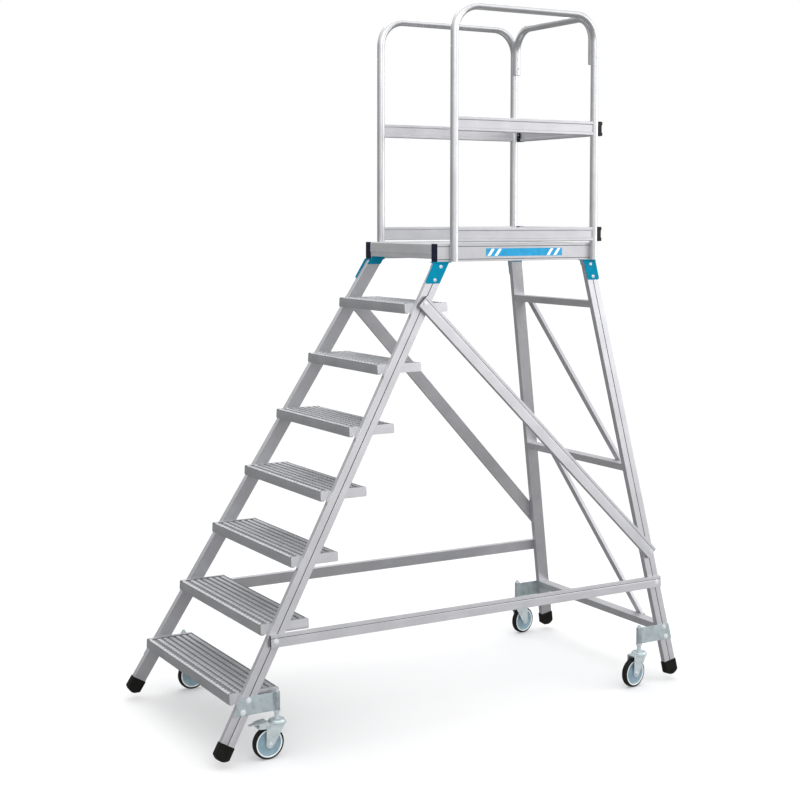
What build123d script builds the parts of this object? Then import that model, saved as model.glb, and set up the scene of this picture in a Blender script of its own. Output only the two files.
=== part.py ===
"""Rolling warehouse ladder: splayed aluminium steps, a platform with guard rails, and four sprung castors.

Frame: +X runs from the steps towards the back of the platform, +Y to the climber's left, +Z up. The origin is
on the floor under the middle of the footprint. Units are millimetres. The right-hand side (-Y) is modelled and
mirrored for the left.
"""
from build123d import *
from math import hypot, sqrt
import os

# ---------------------------------------------------------------- driving dimensions
STEP_RISE = 240.0                 # from one tread's top to the next
STEP_RUN = 141.6                  # from one tread's nosing to the next
TREAD_COUNT = 7
FIRST_TREAD_Z = 260.0             # top of the lowest tread
FIRST_TREAD_X = -1033.7           # nosing of the lowest tread
TREAD_DEPTH = 205.0
TREAD_LIP = 42.0                  # height of the nosing face
CHEEK_HEIGHT = 38.0
SPLAY = 0.105                     # each side frame leans out by this much per unit of height
HALF_WIDTH_FLOOR = 461.9          # inner face of the stiles, measured at floor level

STILE_DEPTH = 58.0
STILE_THICK = 25.0
STILE_WALL = 2.0
FRONT_FOOT_X = -1108.0            # where the front stile's centre line meets the floor
FRONT_SLOPE = STEP_RUN / STEP_RISE
REAR_FOOT_X = 1086.7
REAR_SLOPE = -0.1822
SOLE_Z = 24.0                     # the rubber soles hang this far above the floor when nobody is on the steps
FOOT_WALL = 2.5
FOOT_ROUND = 40.0                 # radius of a foot cap's rounded bottom
FOOT_SKIRT = 47.0                 # straight length of a foot cap above its rounded bottom
FOOT_FLAT = 1.5                   # how much the sole is cut flat
STILE_END = 6.0                   # a stile ends this far above the rounded bottom

PLATFORM_Z = FIRST_TREAD_Z + TREAD_COUNT * STEP_RISE
PLATFORM_FRONT_X = FIRST_TREAD_X + TREAD_COUNT * STEP_RUN
PLATFORM_REAR_X = 777.3
SIDE_PROFILE_H = 74.0
SIDE_PROFILE_W = 40.0
SIDE_PROFILE_Y = 300.0            # outer face of the platform's side profiles
NOSING_HEIGHT = 61.0

RAIL_Z = 2924.0                   # axis of the top rail
POST_FRONT_X = 38.9
POST_REAR_X = 757.3
POST_Y = 306.4
TUBE_R = 17.0
TUBE_WALL = 2.0
TUBE_BEND = 114.0
RAIL_H = 60.0
RAIL_T = 24.0
KNEE_RAIL_Z = 2437.0
TOE_BOARD_Z = 1979.0
GUARD_LEG_Y = 287.0
GUARD_LEG_Z = 2715.0
GUARD_BOLT_Z = 2745.0

BRACE_T = 18.0
DIAGONAL_W = 56.0
DIAGONAL_ENDS = ((-109.7, 1696.0), (985.3, 573.0))
HORIZONTAL_W = 48.0
HORIZONTAL_Z = 439.0
CROSS_MEMBER_Z = (236.0, 949.0, 1671.0)
CROSS_MEMBER_H = 30.0
REAR_DIAGONAL_Y = 268.0
REAR_DIAGONAL_W = 29.0
REAR_DIAGONAL_T = 16.0

CASTOR_FRONT_X = -852.7
CASTOR_REAR_X = 903.3
CASTOR_Y = 468.0
WHEEL_R = 62.5
WHEEL_TRAIL = 37.0
TYRE_W = 28.0
RIM_R = 54.0
BRACKET_T = 5.0
BRACKET_Z = (180.0, 248.0)
SLEEVE_R = 12.3
SLEEVE_Z = (178.0, 254.0)
SLEEVE_CAP_T = 4.0
STEM_R = 9.0
RUNNING = 0.06                    # radial clearance of a running or sliding fit
GAP = 0.3                         # clearance between neighbours that move apart

# name: stem position, side (-1 right, +1 left), heading of the fork about the stem, foot brake
CASTORS = {
    "front_right": (CASTOR_FRONT_X, -1, 0.0, True),
    "front_left": (CASTOR_FRONT_X, 1, 180.0, True),
    "rear_right": (CASTOR_REAR_X, -1, 10.0, False),
    "rear_left": (CASTOR_REAR_X, 1, 190.0, False),
}

LEAN = sqrt(1 + SPLAY**2)         # length along the leaning side plane per unit of height
OUTER = STILE_THICK               # offset of the stiles' outer face in the side plane
FAR = 3000.0                      # larger than the object


# ---------------------------------------------------------------- helpers
def side_plane(offset=0.0):
    """The right-hand stiles' inner face, moved outwards. Local x is +X and local y runs up the lean."""
    face = Plane(origin=(0, -HALF_WIDTH_FLOOR, 0), x_dir=(1, 0, 0), z_dir=(0, -1, SPLAY))
    return face.offset(offset)


def inner_face_y(z):
    return HALF_WIDTH_FLOOR - SPLAY * z


def front_x(z):
    return FRONT_FOOT_X + FRONT_SLOPE * z


def rear_x(z):
    return REAR_FOOT_X + REAR_SLOPE * z


def outline(*points):
    """A closed outline, drawn anticlockwise so that it extrudes the way its plane faces."""
    turned = sum(a[0] * b[1] - b[0] * a[1] for a, b in zip(points, points[1:] + points[:1]))
    return Polygon(*(points if turned > 0 else points[::-1]), align=None)


def side_slab(points, offset, thick):
    """Extrude an outline given in (x, height) outwards from the leaning side plane."""
    return extrude(side_plane(offset) * outline(*[(x, z * LEAN) for x, z in points]), amount=thick)


def mirrored(part):
    return mirror(part, about=Plane.XZ)


def both_sides(part):
    return [part, mirrored(part)]


def box(x, y, z):
    """A box from its (low, high) pairs."""
    size = [high - low for low, high in (x, y, z)]
    middle = [(high + low) / 2 for low, high in (x, y, z)]
    return Pos(*middle) * Box(*size)


def cut_all(part, tools):
    """Subtract each tool whose box meets the part's box."""
    bounds = part.bounding_box()
    for tool in tools:
        b = tool.bounding_box()
        apart = any(getattr(b.max, k) < getattr(bounds.min, k) or getattr(b.min, k) > getattr(bounds.max, k)
                    for k in "XYZ")
        if not apart:
            part = part - tool
    return part


def keep_below(part, z):
    return split(part, bisect_by=Plane.XY.offset(z), keep=Keep.BOTTOM)


def strip_points(start, end, width):
    """Four corners of a bar between two points, cut square at both ends."""
    dx, dz = end[0] - start[0], end[1] - start[1]
    length = hypot(dx, dz)
    nx, nz = -dz / length * width / 2, dx / length * width / 2
    return [(start[0] - nx, start[1] - nz), (end[0] - nx, end[1] - nz),
            (end[0] + nx, end[1] + nz), (start[0] + nx, start[1] + nz)]


def stile_points(centre_x, slope, z0, z1, width):
    """Four corners of a stile's outline, cut level at both ends."""
    half = width / 2 * sqrt(1 + slope**2)
    return [(centre_x(z0) - half, z0), (centre_x(z0) + half, z0),
            (centre_x(z1) + half, z1), (centre_x(z1) - half, z1)]


# ---------------------------------------------------------------- fasteners
def side_bolt(x, z, seat, reach, head_r=6.5, head_h=5.0, shank_r=4.0):
    """A hexagon bolt square to the right-hand side plane, with its head on the given offset."""
    head = extrude(side_plane(seat) * (Pos(x, z * LEAN) * RegularPolygon(head_r, 6)), amount=head_h)
    shank = extrude(side_plane(seat - reach) * (Pos(x, z * LEAN) * Circle(shank_r)), amount=reach)
    return head + shank


def brace_bolts():
    seat = OUTER + BRACE_T
    ends = list(DIAGONAL_ENDS) + [(front_x(HORIZONTAL_Z), HORIZONTAL_Z), (rear_x(HORIZONTAL_Z), HORIZONTAL_Z)]
    return [side_bolt(x, z, seat, BRACE_T + 16) for x, z in ends]


def bracket_bolts():
    """Two bolts for each castor bracket."""
    seat = OUTER + BRACKET_T
    low, high = BRACKET_Z[0] + 13, BRACKET_Z[1] - 13
    return [side_bolt(line(z), z, seat, BRACKET_T + 16) for line in (front_x, rear_x) for z in (low, high)]


def joint_screws():
    """Two pan-head screws for each joint bracket under the platform."""
    seat = OUTER + JOINT_T
    return [side_bolt(line(z), z, seat, JOINT_T + 10, head_r=6.5, head_h=3.0, shank_r=3.0)
            for line in (front_x, rear_x) for z in (JOINT_LOW_Z + 14, JOINT_TOP_Z - 23)]


def guard_bolt():
    """A bolt across the right-hand rear post and the guard tube's end."""
    y_out, y_in = -(POST_Y + TUBE_R), -(GUARD_LEG_Y - TUBE_R)
    axis = Plane(origin=(POST_REAR_X, y_in, GUARD_BOLT_Z), z_dir=(0, -1, 0))
    shank = extrude(axis * Circle(3.0), amount=y_in - y_out)
    outer_head = extrude(axis.offset(y_in - y_out - 1.0) * Circle(5.5), amount=4.0)
    nut = extrude(axis.offset(-4.0) * RegularPolygon(6.0, 6), amount=5.0)
    return shank + outer_head + nut


def post_plug():
    """A small plug in the front post, on the side that faces the climber."""
    face = Plane(origin=(POST_FRONT_X - TUBE_R + TUBE_WALL, -POST_Y, GUARD_BOLT_Z + 7), z_dir=(-1, 0, 0))
    return extrude(face * Circle(3.0), amount=TUBE_WALL + 1.5)


def rear_rail_bolts():
    """Bolts that hold the rear knee rail and toe board to the right-hand rear post."""
    bolts = []
    for z in (KNEE_RAIL_Z, TOE_BOARD_Z):
        face = Plane(origin=(POST_REAR_X + TUBE_R - 6, -RAIL_BOLT_Y, z), z_dir=(1, 0, 0))
        reach = REAR_RAIL_X - POST_REAR_X - TUBE_R + 6 + RAIL_T
        shank = extrude(face * Circle(3.0), amount=reach)
        head = extrude(face.offset(reach - RAIL_WEB_STEP - 1) * Circle(5.5), amount=4.0)
        bolts.append(shank + head)
    return bolts


# ---------------------------------------------------------------- extrusion sections
RAIL_BULGE = 12.0                 # height of the thick band along each edge of a rail
RAIL_WEB_STEP = 3.5               # how far the flat web lies below the bands
REAR_RAIL_X = 776.3               # front face of the rear knee rail and toe board
REAR_RAIL_END = 304.0
RAIL_BOLT_Y = 299.0
JOINT_T = 3.5
JOINT_SEAT_T = 4.0
JOINT_LOW_Z = 1777.0
JOINT_TOP_Z = PLATFORM_Z + 2.0 - SIDE_PROFILE_H


def rail_section(grow=0.0):
    """Dog-bone section of the knee rails and toe boards: x is its thickness, y its height."""
    h, t = RAIL_H / 2, RAIL_T / 2
    web, band = t - RAIL_WEB_STEP, h - RAIL_BULGE
    right = [(t, -h), (t, -band), (web, -band + 2), (web, band - 2), (t, band), (t, h)]
    left = [(-x, y) for x, y in reversed(right)]
    section = outline(*right, *left)
    corners = section.vertices().filter_by(lambda v: abs(abs(v.Y) - h) < 0.01)
    section = fillet(corners, 3.0)
    return offset(section, grow) if grow else section


def rail_bore():
    return Rectangle(RAIL_T - 2 * RAIL_WEB_STEP - 5, RAIL_H - 6)


def brace_section(width):
    """Hollow bar with a groove near one edge of its outer face: x is its width, y its thickness outwards."""
    wall = 2.0
    bar = Pos(0, BRACE_T / 2) * (Rectangle(width, BRACE_T) - Rectangle(width - 2 * wall, BRACE_T - 2 * wall))
    groove = Pos(width / 2 - 13, BRACE_T - 0.5) * Rectangle(2.0, 1.0)
    return bar - groove


# ---------------------------------------------------------------- steps
STILE_GROOVE = 3.0
GROOVE_DEPTH = 1.5


def foot_point(centre_x, slope, reach):
    """A point up a stile's centre line from the middle of its foot cap's rounding."""
    z = SOLE_Z - FOOT_FLAT + FOOT_ROUND
    return centre_x(z) + slope / hypot(slope, 1) * reach, z + reach / hypot(slope, 1)


def foot_chord():
    """Where a foot cap's straight sides meet its rounded bottom, as a reach for foot_point."""
    return -sqrt(FOOT_ROUND**2 - (STILE_DEPTH / 2 + FOOT_WALL)**2)


def stile(centre_x, slope, top_z):
    """Box extrusion with a groove down the middle of its outer face, cut level at the top."""
    def bar(width, extra=0.0):
        low = foot_point(centre_x, slope, foot_chord() + STILE_END - extra)
        high_z = top_z + STILE_DEPTH + extra
        return strip_points(low, (centre_x(high_z), high_z), width)
    outer = side_slab(bar(STILE_DEPTH), 0, STILE_THICK)
    bore = side_slab(bar(STILE_DEPTH - 2 * STILE_WALL, 5.0), STILE_WALL, STILE_THICK - 2 * STILE_WALL)
    groove = side_slab(bar(STILE_GROOVE, 5.0), OUTER - GROOVE_DEPTH, GROOVE_DEPTH)
    return keep_below(outer - bore - groove, top_z)


def foot(centre_x, slope):
    """Rubber boot over the end of a stile, with a rounded bottom and a small flat sole."""
    thick = STILE_THICK + 2 * FOOT_WALL
    top = foot_point(centre_x, slope, foot_chord() + FOOT_SKIRT)
    low = foot_point(centre_x, slope, -2 * FOOT_ROUND)
    boot = side_slab(strip_points(low, top, STILE_DEPTH + 2 * FOOT_WALL), -FOOT_WALL, thick)
    centre = foot_point(centre_x, slope, 0)
    boot &= extrude(side_plane(-FOOT_WALL) * (Pos(centre[0], centre[1] * LEAN) * Circle(FOOT_ROUND)), amount=thick)
    boot &= box((-FAR, FAR), (-FAR, 0), (SOLE_Z, FAR))
    stile_low = foot_point(centre_x, slope, foot_chord() + STILE_END)
    stile_high = foot_point(centre_x, slope, FAR / 2)
    return boot - side_slab(strip_points(stile_low, stile_high, STILE_DEPTH), 0, STILE_THICK)


RIB_COUNT = 6
RIB_PITCH = 28.0
RIB_HEIGHT = 3.0
TREAD_SKIN = 3.0
NOSING_WIDTH = 24.0
CHEEK_T = 3.0
CHEEK_FLANGE = 12.0


def between_stiles(inset):
    """Everything between the two leaning side planes, less an inset at each side."""
    def half(z):
        return inner_face_y(z) - inset * LEAN
    top = FAR
    face = Plane(origin=(-FAR / 2, 0, 0), x_dir=(0, 1, 0), z_dir=(1, 0, 0))
    return extrude(face * outline((-half(0), 0), (half(0), 0), (half(top), top), (-half(top), top)), amount=FAR)


def tread(index):
    """Ribbed extrusion with a nosing face, a rear wall and two stiffeners. Ribs stop short of the cheeks."""
    x0 = FIRST_TREAD_X + index * STEP_RUN
    z0 = FIRST_TREAD_Z + index * STEP_RISE
    under = -RIB_HEIGHT - TREAD_SKIN
    section = Rectangle(TREAD_DEPTH, TREAD_SKIN, align=(Align.MIN, Align.MIN))
    section = Pos(0, under) * section
    parts = [
        ((0, 0), (4, -TREAD_LIP)), ((0, -TREAD_LIP + 3), (16, -TREAD_LIP)),
        ((TREAD_DEPTH - 3.5, -RIB_HEIGHT), (TREAD_DEPTH, -CHEEK_HEIGHT)),
        ((TREAD_DEPTH - 16, -CHEEK_HEIGHT + 3), (TREAD_DEPTH, -CHEEK_HEIGHT)),
        ((66, under), (68.5, -30)), ((136, under), (138.5, -30)),
    ]
    for (xa, za), (xb, zb) in parts:
        section += outline((xa, zb), (xb, zb), (xb, za), (xa, za))
    ribs = outline((0, -RIB_HEIGHT), (NOSING_WIDTH, -RIB_HEIGHT), (NOSING_WIDTH - 1, 0), (2, 0), (0, -2))
    for i in range(RIB_COUNT):
        middle = NOSING_WIDTH + 20 + i * RIB_PITCH
        ribs += outline((middle - 8, -RIB_HEIGHT), (middle + 8, -RIB_HEIGHT), (middle + 5, 0), (middle - 5, 0))
    face = Plane(origin=(x0, FAR / 2, z0), x_dir=(1, 0, 0), z_dir=(0, -1, 0))
    body = extrude(face * section, amount=FAR) & between_stiles(CHEEK_T)
    body -= box((x0 - 1, x0 + TREAD_DEPTH + 1), (-FAR, FAR), (z0 - RIB_HEIGHT, z0 + 1))
    raised = extrude(face * ribs, amount=FAR) & between_stiles(CHEEK_T + CHEEK_FLANGE + 2)
    return body + raised


def tread_cheek(index):
    """End plate of a tread with a flange along its top, right-hand side."""
    x0 = FIRST_TREAD_X + index * STEP_RUN
    z0 = FIRST_TREAD_Z + index * STEP_RISE
    x1, low, high = x0 + TREAD_DEPTH, z0 - CHEEK_HEIGHT, z0 - RIB_HEIGHT
    plate = side_slab([(x0, low), (x1 - 6, low), (x1, low + 6), (x1, z0), (x0, z0)], -CHEEK_T, CHEEK_T)
    plate = keep_below(plate, high)
    flange = side_slab([(x0 + 2, low), (x1 - 2, low), (x1 - 2, z0 + 9), (x0 + 2, z0 + 9)],
                       -CHEEK_T - CHEEK_FLANGE, CHEEK_T + CHEEK_FLANGE)
    flange &= box((-FAR, FAR), (-FAR, FAR), (high, high + 2.2))
    return plate + flange


# ---------------------------------------------------------------- platform
def side_profile_section():
    """Box section with a groove near the top and bottom of its outer face: x points outwards, y up."""
    wall = 3.0
    box_section = Rectangle(SIDE_PROFILE_W, SIDE_PROFILE_H) - Rectangle(
        SIDE_PROFILE_W - 2 * wall, SIDE_PROFILE_H - 2 * wall)
    for y in (SIDE_PROFILE_H / 2 - 11.5, -SIDE_PROFILE_H / 2 + 9.5):
        box_section -= Pos(SIDE_PROFILE_W / 2, y) * Rectangle(3.4, 2.4)
    return box_section


CAP_T = 5.0
SIDE_MID_Z = PLATFORM_Z + 2.0 - SIDE_PROFILE_H / 2
SIDE_MID_Y = SIDE_PROFILE_Y - SIDE_PROFILE_W / 2


def platform_side(posts):
    """Right-hand side profile, notched where the posts stand in it."""
    face = Plane(origin=(PLATFORM_REAR_X, -SIDE_MID_Y, SIDE_MID_Z), x_dir=(0, -1, 0), z_dir=(-1, 0, 0))
    profile = extrude(face * side_profile_section(), amount=PLATFORM_REAR_X - PLATFORM_FRONT_X - CAP_T)
    return profile - posts


def side_profile_cap():
    """Dark cap on the front end of the right-hand side profile, with a plug inside the profile."""
    face = Plane(origin=(PLATFORM_FRONT_X, -SIDE_MID_Y, SIDE_MID_Z), x_dir=(0, 1, 0), z_dir=(1, 0, 0))
    plate = extrude(face * RectangleRounded(SIDE_PROFILE_W, SIDE_PROFILE_H, 4), amount=CAP_T)
    plug = extrude(face.offset(CAP_T) * Rectangle(SIDE_PROFILE_W - 6, SIDE_PROFILE_H - 6), amount=12)
    return plate + plug


INNER_Y = SIDE_PROFILE_Y - SIDE_PROFILE_W
NOSING_DEPTH = 40.0
DECK_T = 30.0
PLANK_COUNT = 4


def platform_nosing():
    """Front edge of the platform: a tall lip, a ribbed top strip and a rear flange."""
    x0, top = PLATFORM_FRONT_X, PLATFORM_Z
    y = (-INNER_Y, INNER_Y)
    lip = box((x0, x0 + 4), y, (top - NOSING_HEIGHT + 22, top - 2))
    lower_lip = box((x0 + 2.5, x0 + 6.5), y, (top - NOSING_HEIGHT, top - NOSING_HEIGHT + 24))
    foot_flange = box((x0 + 2.5, x0 + 20), y, (top - NOSING_HEIGHT, top - NOSING_HEIGHT + 3))
    strip = box((x0, x0 + NOSING_DEPTH), y, (top - 6, top - 2))
    rib = box((x0 + 2, x0 + 2 + NOSING_WIDTH), y, (top - 2, top))
    back = box((x0 + NOSING_DEPTH - 3, x0 + NOSING_DEPTH), y, (top - DECK_T, top - 2))
    return lip + lower_lip + foot_flange + strip + rib + back


def platform_rear_beam():
    """Box profile across the back of the platform."""
    x1, top, wall = PLATFORM_REAR_X, PLATFORM_Z, 3.0
    x0 = x1 - SIDE_PROFILE_W
    z0 = top + 2 - SIDE_PROFILE_H
    y = (-INNER_Y, INNER_Y)
    return box((x0, x1), y, (z0, top)) - box((x0 + wall, x1 - wall), y, (z0 + wall, top - wall))


def deck_planks():
    """Hollow planks with ribs along their tops, side by side between the nosing and the rear beam."""
    start = PLATFORM_FRONT_X + NOSING_DEPTH
    width = (PLATFORM_REAR_X - SIDE_PROFILE_W - start) / PLANK_COUNT
    planks = []
    for i in range(PLANK_COUNT):
        x0 = start + i * width
        x1, top, wall = x0 + width - 0.5, PLATFORM_Z - RIB_HEIGHT, 2.5
        y = (-INNER_Y, INNER_Y)
        plank = box((x0, x1), y, (PLATFORM_Z - DECK_T, top))
        middle = (x0 + x1) / 2
        for low, high in ((x0 + wall, middle - wall / 2), (middle + wall / 2, x1 - wall)):
            plank -= box((low, high), y, (PLATFORM_Z - DECK_T + wall, top - wall))
        ribs = int(width // RIB_PITCH)
        pitch = width / ribs
        for k in range(ribs):
            centre = x0 + pitch * (k + 0.5)
            plank += box((centre - 6, centre + 6), y, (top, PLATFORM_Z))
        planks.append(plank)
    return planks


def joint_bracket(centre_x, slope):
    """Cast bracket that seats a right-hand stile under the side profile."""
    half = STILE_DEPTH / 2 * sqrt(1 + slope**2) + 2
    low_x, top_x = centre_x(JOINT_LOW_Z), centre_x(JOINT_TOP_Z)
    forward = 5.0 if slope > 0 else 2.0
    cheek = side_slab([(low_x - half + 4, JOINT_LOW_Z), (low_x + half - 4, JOINT_LOW_Z),
                       (low_x + half, JOINT_LOW_Z + 6), (top_x + half, JOINT_TOP_Z + 5),
                       (top_x - half - forward, JOINT_TOP_Z + 5), (low_x - half, JOINT_LOW_Z + 8)],
                      OUTER, JOINT_T)
    cheek = keep_below(cheek, JOINT_TOP_Z)
    inner = side_slab(stile_points(centre_x, slope, JOINT_TOP_Z - 24, JOINT_TOP_Z + 5, STILE_DEPTH),
                      -JOINT_T, JOINT_T)
    inner = keep_below(inner, JOINT_TOP_Z)
    reach = (top_x - half - forward, top_x + half)
    seat = box(reach, (-SIDE_PROFILE_Y, -INNER_Y + JOINT_T), (JOINT_TOP_Z - JOINT_SEAT_T, JOINT_TOP_Z))
    upstand = box((reach[0] + 14, reach[1]), (-INNER_Y, -INNER_Y + JOINT_T), (JOINT_TOP_Z - 2, JOINT_TOP_Z + 30))
    return cheek + inner + seat + upstand


# ---------------------------------------------------------------- guard rail
def bent_tube(points, bend, radius):
    """Solid round bar along a path of straight runs with equal bends."""
    path = FilletPolyline(*points, radius=bend)
    start = Plane(origin=path @ 0, z_dir=path % 0)
    return sweep(start * Circle(radius), path=path)


def handrail_bar(radius, low_z, side_y=-POST_Y):
    points = [(POST_FRONT_X, side_y, low_z), (POST_FRONT_X, side_y, RAIL_Z),
              (POST_REAR_X, side_y, RAIL_Z), (POST_REAR_X, side_y, low_z)]
    return bent_tube(points, TUBE_BEND, radius)


def guard_bar(radius, low_z):
    points = [(POST_REAR_X, -GUARD_LEG_Y, low_z), (POST_REAR_X, -GUARD_LEG_Y, RAIL_Z),
              (POST_REAR_X, GUARD_LEG_Y, RAIL_Z), (POST_REAR_X, GUARD_LEG_Y, low_z)]
    return bent_tube(points, TUBE_BEND - 8, radius)


def rear_guard():
    """Tube across the back whose legs are formed round the inner sides of the rear posts."""
    skin, bore = guard_bar(TUBE_R, GUARD_LEG_Z), guard_bar(TUBE_R - TUBE_WALL, GUARD_LEG_Z - 1)
    for side in (-1, 1):
        skin -= handrail_bar(TUBE_R, JOINT_TOP_Z, side * POST_Y)
        bore -= handrail_bar(TUBE_R + TUBE_WALL, JOINT_TOP_Z, side * POST_Y)
    return skin - bore


def side_rail(centre_z, posts):
    """Rail between the right-hand posts, its ends shaped to them."""
    face = Plane(origin=(POST_FRONT_X, -POST_Y, centre_z), x_dir=(0, 1, 0), z_dir=(1, 0, 0))
    rail = extrude(face * (rail_section() - rail_bore()), amount=POST_REAR_X - POST_FRONT_X)
    for part in (rail - posts).solids():
        if part.bounding_box().size.X > (POST_REAR_X - POST_FRONT_X) / 2:
            return part
    raise ValueError("the side rail was cut away")


def rear_rail(centre_z):
    """Rail across the back, behind the rear posts."""
    face = Plane(origin=(REAR_RAIL_X + RAIL_T / 2, -REAR_RAIL_END, centre_z), x_dir=(-1, 0, 0), z_dir=(0, 1, 0))
    return extrude(face * (rail_section() - rail_bore()), amount=2 * REAR_RAIL_END)


def rail_end_cap(centre_z):
    """Skirted cap on the right-hand end of a rear rail."""
    x_mid, skirt, wall = REAR_RAIL_X + RAIL_T / 2, 20.0, 1.4
    end = Plane(origin=(x_mid, -REAR_RAIL_END - 4, centre_z), x_dir=(-1, 0, 0), z_dir=(0, 1, 0))
    cap = extrude(end * rail_section(wall), amount=4 + skirt)
    return cap - rear_rail(centre_z) - extrude(end.offset(4) * rail_bore(), amount=skirt)


# ---------------------------------------------------------------- braces
def brace_bar(start, end, width):
    """Hollow bar on the outer face of the right-hand stiles, its groove along the upper edge."""
    dx, dz = end[0] - start[0], (end[1] - start[1]) * LEAN
    length = hypot(dx, dz)
    plane = side_plane(OUTER)
    origin = plane.from_local_coords(Vector(start[0], start[1] * LEAN, 0))
    along = (plane.x_dir * dx + plane.y_dir * dz) / length
    up = (plane.x_dir * -dz + plane.y_dir * dx) / length
    face = Plane(origin=origin, x_dir=up, z_dir=along)
    section = brace_section(width)
    if face.y_dir.dot(plane.z_dir) < 0:
        section = mirror(section, about=Plane.XZ)
    return extrude(face * section, amount=length)


def past(start, end, before, after):
    """Move both ends of a line outwards."""
    dx, dz = end[0] - start[0], end[1] - start[1]
    a, b = before / hypot(dx, dz), after / hypot(dx, dz)
    return (start[0] - dx * a, start[1] - dz * a), (end[0] + dx * b, end[1] + dz * b)


def cross_member(z):
    """Flat box bar between the rear stiles."""
    low, high = z - CROSS_MEMBER_H / 2, z + CROSS_MEMBER_H / 2
    half = STILE_DEPTH / 2 - 2
    ends = (-FAR, FAR)
    centre = rear_x(z)
    bar = box((centre - half, centre + half), ends, (low, high))
    bar -= box((centre - half + 2, centre + half - 2), ends, (low + 2, high - 2))
    return bar & between_stiles(0)


def rear_diagonal(z_top, z_low):
    """Bar on the back faces of two cross members, from the left one down to the right one."""
    behind = STILE_DEPTH / 2 - 2
    top = Vector(rear_x(z_top) + behind, REAR_DIAGONAL_Y, z_top)
    low = Vector(rear_x(z_low) + behind, -REAR_DIAGONAL_Y, z_low)
    along = (low - top).normalized()
    back = Vector(1, 0, -REAR_SLOPE).normalized()
    across = back.cross(along).normalized()
    face = Plane(origin=top, x_dir=across, z_dir=along)
    outward = 1 if face.y_dir.X > 0 else -1
    lift = outward * (REAR_DIAGONAL_T / 2 + 4)
    section = Pos(0, lift) * (Rectangle(REAR_DIAGONAL_W, REAR_DIAGONAL_T)
                              - Rectangle(REAR_DIAGONAL_W - 4, REAR_DIAGONAL_T - 4))
    bar = extrude(face * section, amount=(low - top).length)
    for z, end in ((z_top, top), (z_low, low)):
        pad = box((end.X, end.X + 20), (end.Y - 14, end.Y + 14), (z - 13, z + 13))
        bar = (bar - pad) + pad
    return bar


# ---------------------------------------------------------------- castors
def castor_bracket(centre_x, slope, stem_x):
    """Steel plate on a right-hand stile's outer face, welded to the upright sleeve of the castor."""
    low, high = BRACKET_Z
    half = STILE_DEPTH / 2 * sqrt(1 + slope**2)
    if stem_x > centre_x(low):
        points = [(centre_x(low) - half, low), (stem_x, low), (stem_x, high), (centre_x(high) - half, high)]
    else:
        points = [(stem_x, low), (centre_x(low) + half, low), (centre_x(high) + half, high), (stem_x, high)]
    plate = side_slab(points, OUTER, BRACKET_T)
    z0, z1 = SLEEVE_Z
    plate += Pos(stem_x, -CASTOR_Y, (z0 + z1) / 2) * Cylinder(SLEEVE_R, z1 - z0)
    dome = Pos(stem_x, -CASTOR_Y, z1) * Cone(SLEEVE_R, SLEEVE_R / 2, SLEEVE_CAP_T,
                                              align=(Align.CENTER, Align.CENTER, Align.MIN))
    plate += dome
    neck = Pos(stem_x, -CASTOR_Y, z0 - 1) * Cylinder(
        STEM_R + RUNNING, z1 - SLEEVE_CAP_T - z0, align=(Align.CENTER, Align.CENTER, Align.MIN))
    chamber = Pos(stem_x, -CASTOR_Y, NECK_TOP) * Cylinder(
        STEM_HEAD_R + RUNNING, z1 - SLEEVE_CAP_T - NECK_TOP, align=(Align.CENTER, Align.CENTER, Align.MIN))
    return plate - neck - chamber


NECK_TOP = 198.0                  # top of the sleeve's narrow neck, where the stem's head rests
STEM_HEAD_R = 10.4
STEM_HEAD_TOP = 206.0
FORK_TOP = 149.0
FORK_PLATE = (137.0, 141.0)
SPIGOT_R = 8.0
SPRING_R = 8.4
SPRING_WIRE = 1.2
SPRING_TURNS = 6
HUB_HALF = 17.5
LEG_T = 3.0
LEG_INNER = 18.6
AXLE_R = 4.0
PEDAL_PIVOT = (-44.0, 134.0)
PEDAL_TIP = -117.0
PEDAL_TIP_HALF = 9.0
PEDAL_NECK = (-96.0, 12.0)         # where the tongue starts to widen, and its half width there
PEDAL_PIN_R = 3.0


def disc(radius, z0, z1):
    return Pos(0, 0, z0) * Cylinder(radius, z1 - z0, align=(Align.CENTER, Align.CENTER, Align.MIN))


def cross_disc(radius, x, z, y0, y1):
    """A disc square to Y."""
    return Pos(x, (y0 + y1) / 2, z) * (Rot(90, 0, 0) * Cylinder(radius, y1 - y0))


def castor_stem():
    """Plunger: a head inside the sleeve, a shank, a flange on the fork and a riveted spigot through it."""
    stem = disc(STEM_HEAD_R, NECK_TOP + GAP, STEM_HEAD_TOP) + disc(STEM_R, FORK_TOP + GAP, NECK_TOP + GAP)
    stem += disc(16.0, FORK_TOP + GAP, FORK_TOP + GAP + 3.5)
    stem += disc(SPIGOT_R, FORK_PLATE[0] - 5.5, FORK_TOP + GAP)
    stem += disc(13.0, FORK_PLATE[0] - 5.5, FORK_PLATE[0] - GAP)
    return stem


def castor_spring():
    """Coil spring between the stem's head and the closed top of the sleeve."""
    low, high = STEM_HEAD_TOP + SPRING_WIRE, SLEEVE_Z[1] - SLEEVE_CAP_T - SPRING_WIRE
    path = Helix(pitch=(high - low) / SPRING_TURNS, height=high - low, radius=SPRING_R)
    start = Plane(origin=path @ 0, z_dir=path % 0)
    return Pos(0, 0, low) * sweep(start * Circle(SPRING_WIRE), path=path, is_frenet=True)


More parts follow.
